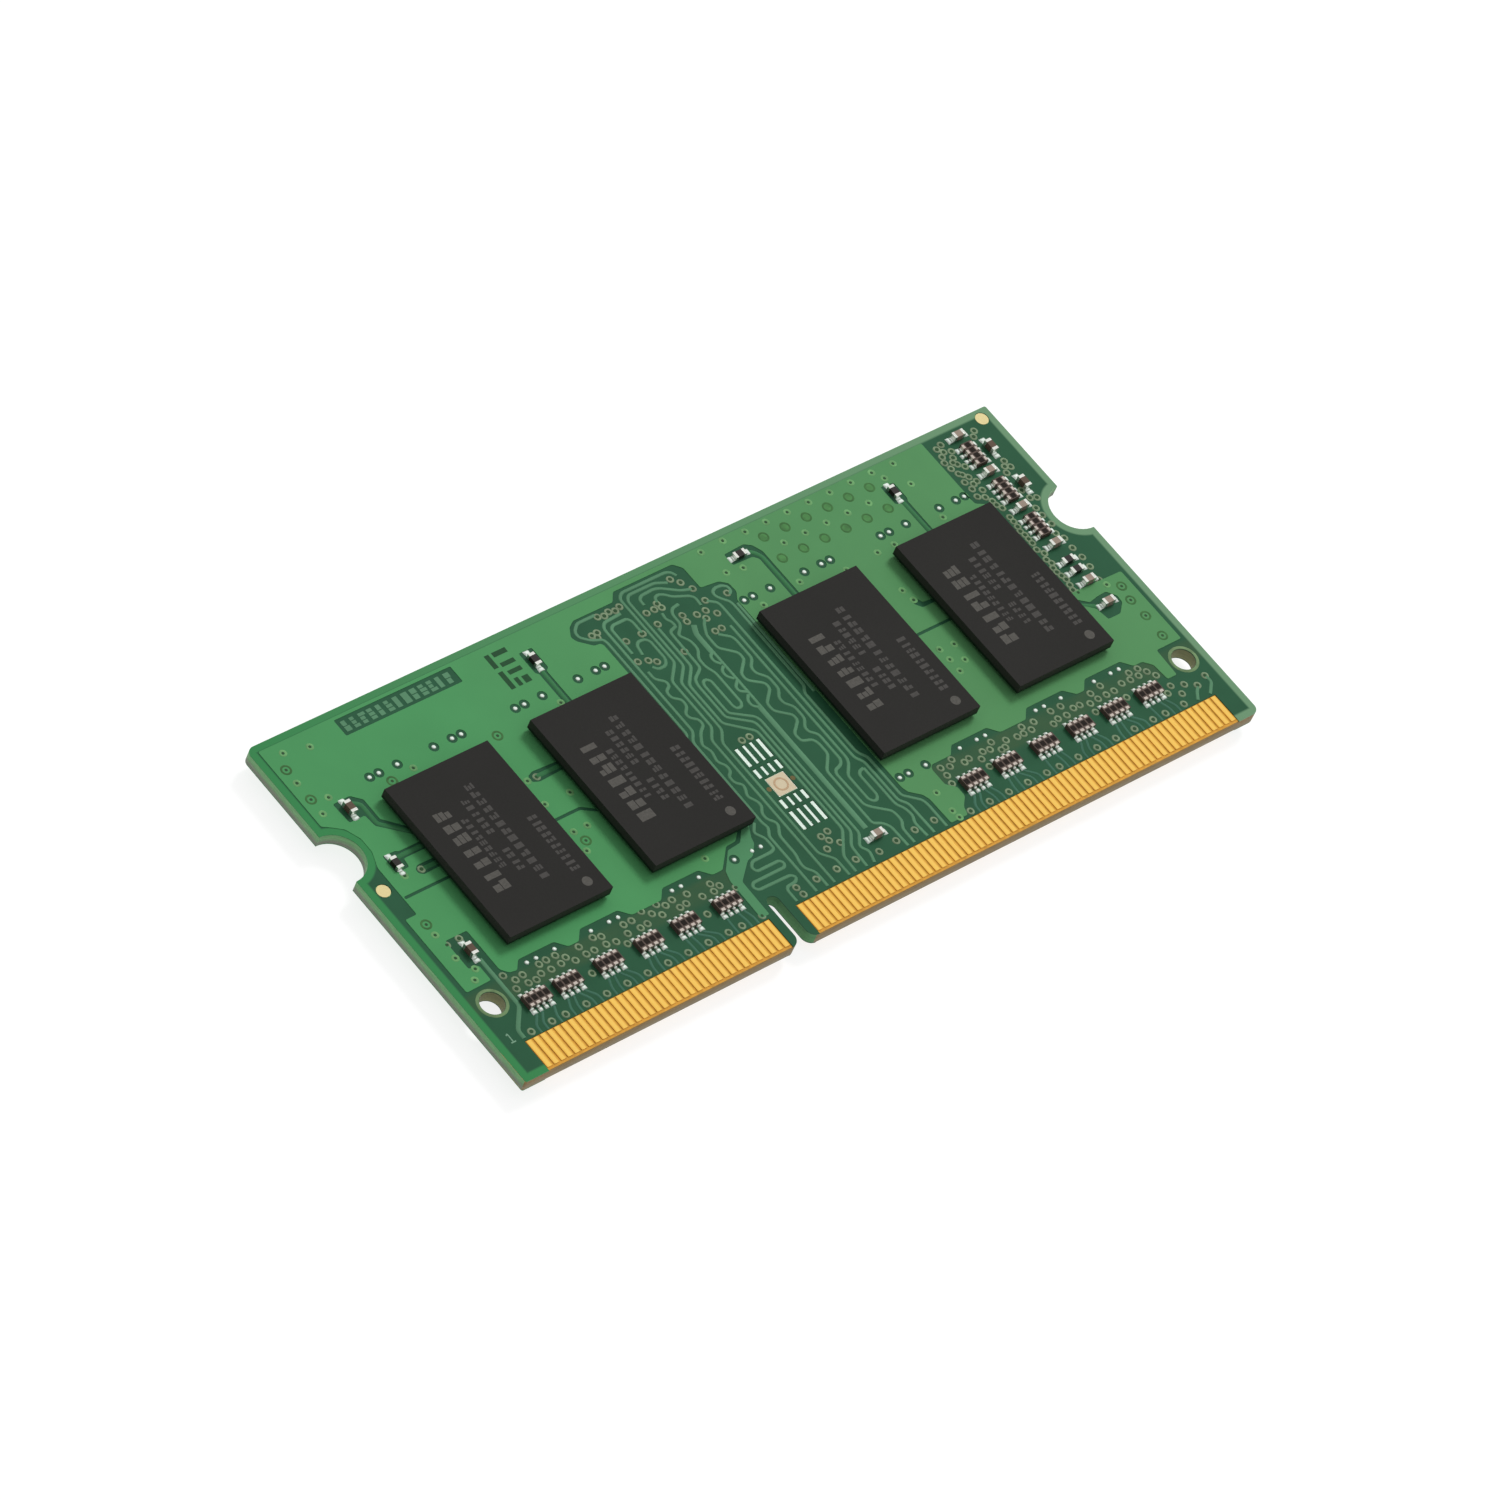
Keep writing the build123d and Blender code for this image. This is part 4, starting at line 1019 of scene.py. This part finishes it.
LYING_ARRAYS = [(x, ARRAY_Y, False) for x in ARRAY_X]
STANDING_ARRAYS = [(TERMINATION_X, y, True) for y in TERMINATION_Y]


def make_solder_joints():
    front = array_groups(LYING_ARRAYS + STANDING_ARRAYS)
    front += chip_groups(RESISTORS, 1.0, 0.5, 0.35)
    front += chip_groups(CAPACITORS, 1.0, 0.52, 0.42)
    joints_piece("solder_joints_front", front, FRONT, 1)
    back = array_groups(LYING_ARRAYS)
    back += chip_groups(BACK_CAPACITORS, 1.0, 0.52, 0.42)
    back += chip_groups(BULK_CAPACITORS, 1.6, 0.8, 0.6)
    joints_piece("solder_joints_back", back, BACK, -1)


GLAZE_ALONG = 0.19              # half the size of a glaze patch, along its array and across it
GLAZE_ACROSS = 0.2


def glaze_piece(name, places, face, up):
    """The dark overglaze on top of each resistor element of the arrays."""
    top = face + up * ARRAY_HEIGHT
    low, high = sorted((top - up * 0.006, top + up * 0.008))

    def build(shape):
        for x, y, along_y in places:
            rx, ry = (GLAZE_ACROSS, GLAZE_ALONG) if along_y else (GLAZE_ALONG, GLAZE_ACROSS)
            for offset in array_offsets():
                cx, cy = (x, y + offset) if along_y else (x + offset, y)
                add_block(shape, cx - rx, cy - ry, cx + rx, cy + ry, low, high)
    mesh_piece(name, build, ARRAY_GLAZE)


def make_array_glaze():
    glaze_piece("array_glaze_front", LYING_ARRAYS + STANDING_ARRAYS, FRONT, 1)
    glaze_piece("array_glaze_back", LYING_ARRAYS, BACK, -1)


# ---------------------------------------------------------------- bare pads, annuli and legends
# rows of mask dams between the spare footprint's pads: (y from its middle, length)
DAM_ROWS = [(2.92, 1.68), (1.4, 0.83), (-1.4, 0.83), (-2.92, 1.68)]
DAM_OFFSETS = [-0.625, 0.0, 0.625]
DAM_HALF_WIDTH = 0.2


def make_hole_annuli():
    low = FRONT - 0.005
    high = FRONT + 0.012
    steps = [(0.01, low), (0.02, high), (0.22, high), (0.25, low), (0.01, low)]
    annulus = [(HOLE_RADIUS + beyond, height) for beyond, height in steps]
    turned("hole_annuli_front", HOLES, annulus, HOLE_ANNULUS, 48)
    turned("hole_annuli_back", HOLES, mirrored(annulus), HOLE_ANNULUS, 48)


def make_spare_footprint():
    """The empty footprint's bare thermal pad, with its ring and flux stains, and its mask dams."""
    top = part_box("spare_footprint_pads")[1].z / MM
    pad = rounded_outline(bar(SPARE_X - 0.8, SPARE_Y - 0.78, SPARE_X + 0.8, SPARE_Y + 0.78), 0.1)
    filled("thermal_pad_face", [pad], top, top + 0.012, THERMAL_PAD, 0.003)
    low = top + 0.01
    high = top + 0.03
    ring = [(0.56, low), (0.52, high), (0.44, high), (0.4, low), (0.56, low)]
    turned("thermal_pad_ring", [(SPARE_X, SPARE_Y)], ring, PAD_RING, 32)
    stain = [(0.2, FRONT - 0.002), (0.14, FRONT + 0.01), (0.0, FRONT + 0.012)]
    ears = [(SPARE_X + side * 1.08, SPARE_Y + 0.02) for side in (-1, 1)]
    turned("thermal_pad_ears", ears, stain, FLUX_STAIN, 16)

    def dams(shape):
        for dy, length in DAM_ROWS:
            for dx in DAM_OFFSETS:
                x = SPARE_X + dx
                y = SPARE_Y + dy
                add_block(shape, x - DAM_HALF_WIDTH, y - length / 2, x + DAM_HALF_WIDTH, y + length / 2,
                          top - 0.03, FRONT + 0.002)
    mesh_piece("spare_footprint_dams", dams, MASK)


def block_row(chance, length, height, count, gaps, shares):
    """Rectangles (start, bottom, end, top) of a row of plain blocks, no two alike, in place of print."""
    step = length / count
    for k in range(count):
        pieces = chance.choice((1, 2, 2, 3))
        for part in range(pieces):
            bottom = height * part / pieces + gaps[0]
            top = height * (part + 1) / pieces - gaps[1]
            yield k * step, bottom, (k + chance.uniform(*shares)) * step, top


CODE_X = 7.25
CODE_Y = 28.0
# the plain symbol's strokes, from corner to corner
SYMBOL_BARS = [
    (19.8, 25.7, 20.2, 27.25), (19.8, 27.6, 20.2, 28.8), (20.45, 28.4, 21.65, 28.8),
    (20.45, 27.5, 21.65, 27.85), (20.5, 26.75, 21.65, 27.1), (20.5, 25.7, 20.85, 26.4),
    (21.1, 25.7, 21.65, 26.3)]
PIN_ONE_STROKES = [[(1.3, 2.95), (1.3, 3.65), (1.15, 3.5)], [(1.1, 2.9), (1.5, 2.9)]]


def make_board_legends():
    """A code field and a plain symbol by the upper edge, all abstract blocks, and the first contact's 1."""
    def code(shape):
        for start, bottom, end, top in block_row(random.Random(3), 9.7, 0.95, 13, (0.04, 0.02), (0.45, 0.75)):
            add_block(shape, CODE_X + start, CODE_Y + bottom, CODE_X + end, CODE_Y + top,
                      FRONT - 0.005, FRONT + 0.012)
    mesh_piece("board_code_blocks", code, TRACE)

    def symbol(shape):
        for corners in SYMBOL_BARS:
            add_block(shape, *corners, POUR_TOP - 0.004, POUR_TOP + 0.005)
    mesh_piece("board_symbol", symbol, LEGEND_DARK)
    ridges("pin_one_legend", PIN_ONE_STROKES, 0.1, 0.012, FRONT, PALE_INK)


# ---------------------------------------------------------------- marks on the memory packages
# each row: (x and y of its start from the package's middle, length, height, number of blocks)
TITLE_ROW = (-3.0, -3.5, 7.4, 1.3, 7)
MARK_ROWS = [(-1.5, -2.0, 4.5, 0.6, 9), (-0.5, -2.7, 2.1, 0.65, 4),
             (-0.5, 0.55, 3.2, 0.65, 6), (0.5, -4.0, 8.7, 0.72, 13), (2.75, -4.45, 5.1, 0.8, 10)]
MARK_LOW = DRAM_TOP - 0.004
MARK_HIGH = DRAM_TOP + 0.002
PIN_ONE_DX = 3.2
PIN_ONE_DY = -5.55


def mark_piece(name, rows, centre, chance, material):
    """Rows of faint blocks that read up the package."""
    def build(shape):
        for dx, dy, length, height, count in rows:
            left = centre + dx
            low = DRAM_Y + dy
            for start, near, end, far in block_row(chance, length, height, count, (0.03, 0.03), (0.4, 0.72)):
                add_block(shape, left + near, low + start, left + far, low + end, MARK_LOW, MARK_HIGH)
    mesh_piece(name, build, material)


def make_dram_marks():
    """Laser marks, as rows of abstract blocks, and a pin-one dot."""
    dot = [(0.38, MARK_LOW), (0.38, MARK_HIGH), (0.0, MARK_HIGH)]
    for number, centre in enumerate(DRAM_X, start=1):
        chance = random.Random(40 + number)
        mark_piece(f"dram_{number}_mark", MARK_ROWS, centre, chance, MARKING)
        mark_piece(f"dram_{number}_title", [TITLE_ROW], centre, chance, MARKING_BOLD)
        place = (centre + PIN_ONE_DX, DRAM_Y + PIN_ONE_DY)
        turned(f"dram_{number}_pin_one_dot", [place], dot, MARKING_BOLD, 24)


# ---------------------------------------------------------------- the back of the board
BACK_POUR_TOP = BOARD_HEIGHT - 0.55
BACK_POUR_LOW = 8.1
BACK_POUR = [
    (0.75, BACK_POUR_TOP), (66.85, BACK_POUR_TOP), (66.85, 22.7), (66.6, 22.4), (65.65, 21.7), (65.15, 20.6),
    (65.15, 19.4), (65.65, 18.3), (66.6, 17.6), (66.85, 17.3), (66.85, 7.5), (0.75, 7.5), (0.75, 17.3),
    (1.0, 17.6), (1.95, 18.3), (2.45, 19.4), (2.45, 20.6), (1.95, 21.7), (1.0, 22.4), (0.75, 22.7)]
EEPROM_OPENING = (31.9, 15.5, 34.9, 19.5)
EEPROM_DOT = (32.75, 18.6)
BACK_TRACES = 9


def make_back_pour():
    """The back's ground pour, open round its parts and vias, with a straight lower edge."""
    outline = rounded_outline(BACK_POUR, 0.2)
    outlines = [[(x, max(y, BACK_POUR_LOW)) for x, y in outline]]
    for places, half_length, half_width in ((BULK_CAPACITORS, 1.4, 0.7), (BACK_CAPACITORS, 1.05, 0.5)):
        for x, y, _ in places:
            corners = bar(x - half_length, y - half_width, x + half_length, y + half_width)
            outlines.append(rounded_outline(corners, 0.2))
    outlines.append(rounded_outline(bar(*EEPROM_OPENING), 0.3))
    outlines += [circle(x, y, VIA_CLEARANCE) for x, y in via_places() if y > BACK_POUR_LOW]
    filled("back_ground_pour", outlines, BACK - COPPER_RISE, BACK + 0.01, POUR)


def back_fanout():
    """Tracks from the back's contacts to the nearest resistor array, or a short stub where none is near."""
    routes = []
    for x in contact_x():
        if abs(x - KEY_X) <= 1.2:
            continue
        nearest = min(ARRAY_X, key=lambda array: abs(array - x))
        if abs(x - nearest) < 1.7:
            offset = max(-0.75, min(0.75, (x - nearest) * 0.5))
            routes.append([(x, 2.6), (x, 3.2), (nearest + offset, 4.0), (nearest + offset, 4.3)])
        else:
            routes.append([(x, 2.6), (x, 3.0 + 0.25 * (int(x * 10) % 4))])
    return routes


def back_address_traces():
    """The parallel tracks below the middle channel, each a little longer than the last."""
    routes = []
    for k in range(BACK_TRACES):
        x = 28.4 + 0.42 * k
        routes.append([(x, 3.2), (x, 5.2 + 0.2 * k), (x + 0.25 * (k % 2), 6.2 + 0.2 * k), (x, 7.9)])
    return routes


def make_back_vias():
    """Rings where the front's vias come through, clear of the back's capacitors."""
    parts = BACK_CAPACITORS + BULK_CAPACITORS
    clear = [(x, y) for x, y in LEFT_VIAS + RIGHT_VIAS + stitching_vias()
             if y > 8.4 and all(math.hypot(x - px, y - py) > 1.5 for px, py, _ in parts)]
    on_pour = ring_profile(BACK - COPPER_RISE + 0.005, 0.02, up=-1)
    on_dark = ring_profile(BACK, COPPER_RISE, up=-1)
    turned("via_rings_back", clear, on_pour, RING_GREEN, 14)
    turned("via_rings_back_channel", cluster_vias(), on_dark, RING, 14)


def make_back_relief():
    make_back_pour()
    ridges("contact_fanout_back", back_fanout(), BACK_FANOUT_WIDTH, THIN_RISE, BACK, TRACE, up=-1)
    ridges("address_traces_back", back_address_traces(), TRACE_WIDTH, THIN_RISE, BACK, TRACE, up=-1)
    make_back_vias()
    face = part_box("spd_eeprom_body")[0].z / MM
    dot = [(0.16, face + 0.004), (0.16, face - 0.002), (0.0, face - 0.002)]
    turned("eeprom_pin_one_dot", [EEPROM_DOT], dot, MARKING, 20)


# ---------------------------------------------------------------- CAD nodes: materials and broken edges
NODE_MATERIALS = {
    "core_laminate": LAMINATE, "prepreg_front": LAMINATE, "prepreg_back": LAMINATE,
    "ground_plane": COPPER, "power_plane": COPPER, "copper_pour_front": COPPER, "copper_pour_back": COPPER,
    "solder_mask_front": MASK, "solder_mask_back": MASK,
    "contacts_front_left": GOLD_PLATE, "contacts_front_right": GOLD_PLATE,
    "contacts_back_left": GOLD_PLATE, "contacts_back_right": GOLD_PLATE,
    "plated_vias": SOLDER, "fiducial_pads": FIDUCIAL_PAD, "spare_footprint_pads": BRIGHT_PAD,
    "data_resistor_arrays_back": ARRAY_BODY, "array_terminals_front": ARRAY_TERMINAL,
    "array_terminals_back": ARRAY_TERMINAL,
    "chip_resistor_bodies": RESISTOR, "chip_resistor_terminals": TIN_PLATE,
    "chip_capacitor_bodies_front": CAPACITOR, "chip_capacitor_terminals_front": TIN_PLATE,
    "chip_capacitor_bodies_back": CAPACITOR, "chip_capacitor_terminals_back": TIN_PLATE,
    "bulk_capacitor_bodies": CAPACITOR, "bulk_capacitor_terminals": TIN_PLATE,
    "spd_eeprom_body": MOULD_COMPOUND, "spd_eeprom_pads": TIN_PLATE}
NODE_MATERIALS.update({f"data_resistor_array_{n:02d}": ARRAY_BODY for n in range(1, 13)})
NODE_MATERIALS.update({f"termination_array_{n}": ARRAY_BODY for n in range(1, 4)})
DRAM_MATERIALS = {"mould": MOULD_COMPOUND, "substrate": SUBSTRATE, "die": SILICON, "balls": SOLDER}
for n in range(1, 5):
    NODE_MATERIALS.update({f"dram_{n}_{part}": material for part, material in DRAM_MATERIALS.items()})
# the bevel of each node whose name holds the word, the first that fits
BEVELS = {"mould": 0.07, "array": 0.03, "terminals": 0.035, "bodies": 0.03, "contacts": 0.015,
          "eeprom_body": 0.04}


def dress_cad_nodes():
    """Give each CAD node its material, and a fine bevel to those with visible sharp edges."""
    for name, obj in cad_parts.items():
        obj.data.materials.clear()
        obj.data.materials.append(NODE_MATERIALS[name])
        width = next((size for key, size in BEVELS.items() if key in name), None)
        if width:
            bevel = obj.modifiers.new("broken_edges", "BEVEL")
            bevel.width = width * MM
            bevel.segments = 2
            bevel.limit_method = "ANGLE"
            bevel.harden_normals = False


# ---------------------------------------------------------------- studio
FLOOR_SIZE = 3.0
CAMERA_DISTANCE = 0.5943
CAMERA_AZIMUTH = -60.0
CAMERA_ELEVATION = 47.34
CAMERA_ROLL = 25.93
CAMERA_LENS = 213.5
CAMERA_AIM = Vector((-1.215, -0.326, 0.73)) * MM
BRIGHT_SIDE = (0.587, 0.339, 0.735)
TENT_DIM = 0.36
TENT_BRIGHT = 0.95
KEY_DIRECTION = Vector((0.60, 0.26, 0.76))
KEY_DISTANCE = 0.8
KEY_SIZE = 0.22
KEY_POWER = 3.6


def make_floor():
    bpy.ops.mesh.primitive_plane_add(size=FLOOR_SIZE, location=(0, 0, CAD_LOW.z - 0.0001))
    floor = bpy.context.object
    floor.name = "studio_floor"
    floor.data.materials.append(make_floor_material())


def make_world():
    """A white tent that is brighter on the side behind and to the right of the module."""
    world = bpy.data.worlds.new("studio_world")
    world.use_nodes = True
    nodes = world.node_tree.nodes
    links = world.node_tree.links
    towards = nodes.new("ShaderNodeVectorMath")
    towards.operation = "DOT_PRODUCT"
    towards.inputs[1].default_value = BRIGHT_SIDE
    links.new(nodes.new("ShaderNodeTexCoord").outputs["Generated"], towards.inputs[0])
    level = nodes.new("ShaderNodeMapRange")
    level.interpolation_type = "SMOOTHSTEP"
    level.inputs["From Min"].default_value = 0.2
    level.inputs["To Min"].default_value = TENT_DIM
    level.inputs["To Max"].default_value = TENT_BRIGHT
    links.new(towards.outputs["Value"], level.inputs["Value"])
    links.new(level.outputs["Result"], nodes["Background"].inputs["Strength"])
    nodes["Background"].inputs["Color"].default_value = (1, 1, 1, 1)
    bpy.context.scene.world = world


def make_key_light():
    """A soft lamp high to the right, kept out of the glossy reflections."""
    light = bpy.data.lights.new("key_light", "AREA")
    light.size = KEY_SIZE
    light.energy = KEY_POWER
    lamp = bpy.data.objects.new("key_light", light)
    lamp.location = KEY_DIRECTION * KEY_DISTANCE
    lamp.rotation_euler = (-KEY_DIRECTION).to_track_quat("-Z", "Y").to_euler()
    lamp.visible_glossy = False
    bpy.context.collection.objects.link(lamp)


def make_camera():
    """A long lens at the module's left front, rolled so that the contact edge runs up to the right."""
    azimuth = math.radians(CAMERA_AZIMUTH)
    elevation = math.radians(CAMERA_ELEVATION)
    level = math.cos(elevation)
    back = Vector((math.sin(azimuth) * level, -math.cos(azimuth) * level, math.sin(elevation)))
    level_right = Vector((math.cos(azimuth), math.sin(azimuth), 0))
    level_up = back.cross(level_right)
    roll = math.radians(CAMERA_ROLL)
    right = level_right * math.cos(roll) + level_up * math.sin(roll)
    up = back.cross(right)
    camera = bpy.data.objects.new("camera", bpy.data.cameras.new("camera"))
    camera.data.lens = CAMERA_LENS
    camera.data.sensor_width = 36.0
    camera.data.clip_start = 0.01
    turn = Matrix((right, up, back)).transposed().to_4x4()
    camera.matrix_world = Matrix.Translation(CAMERA_AIM + back * CAMERA_DISTANCE) @ turn
    bpy.context.collection.objects.link(camera)
    bpy.context.scene.camera = camera


def main():
    dress_cad_nodes()
    make_front_pours()
    make_front_traces()
    make_front_vias()
    make_solder_joints()
    make_array_glaze()
    make_hole_annuli()
    make_spare_footprint()
    make_board_legends()
    make_dram_marks()
    make_back_relief()
    make_floor()
    make_world()
    make_key_light()
    make_camera()
    bpy.context.scene.view_settings.view_transform = "Standard"


main()
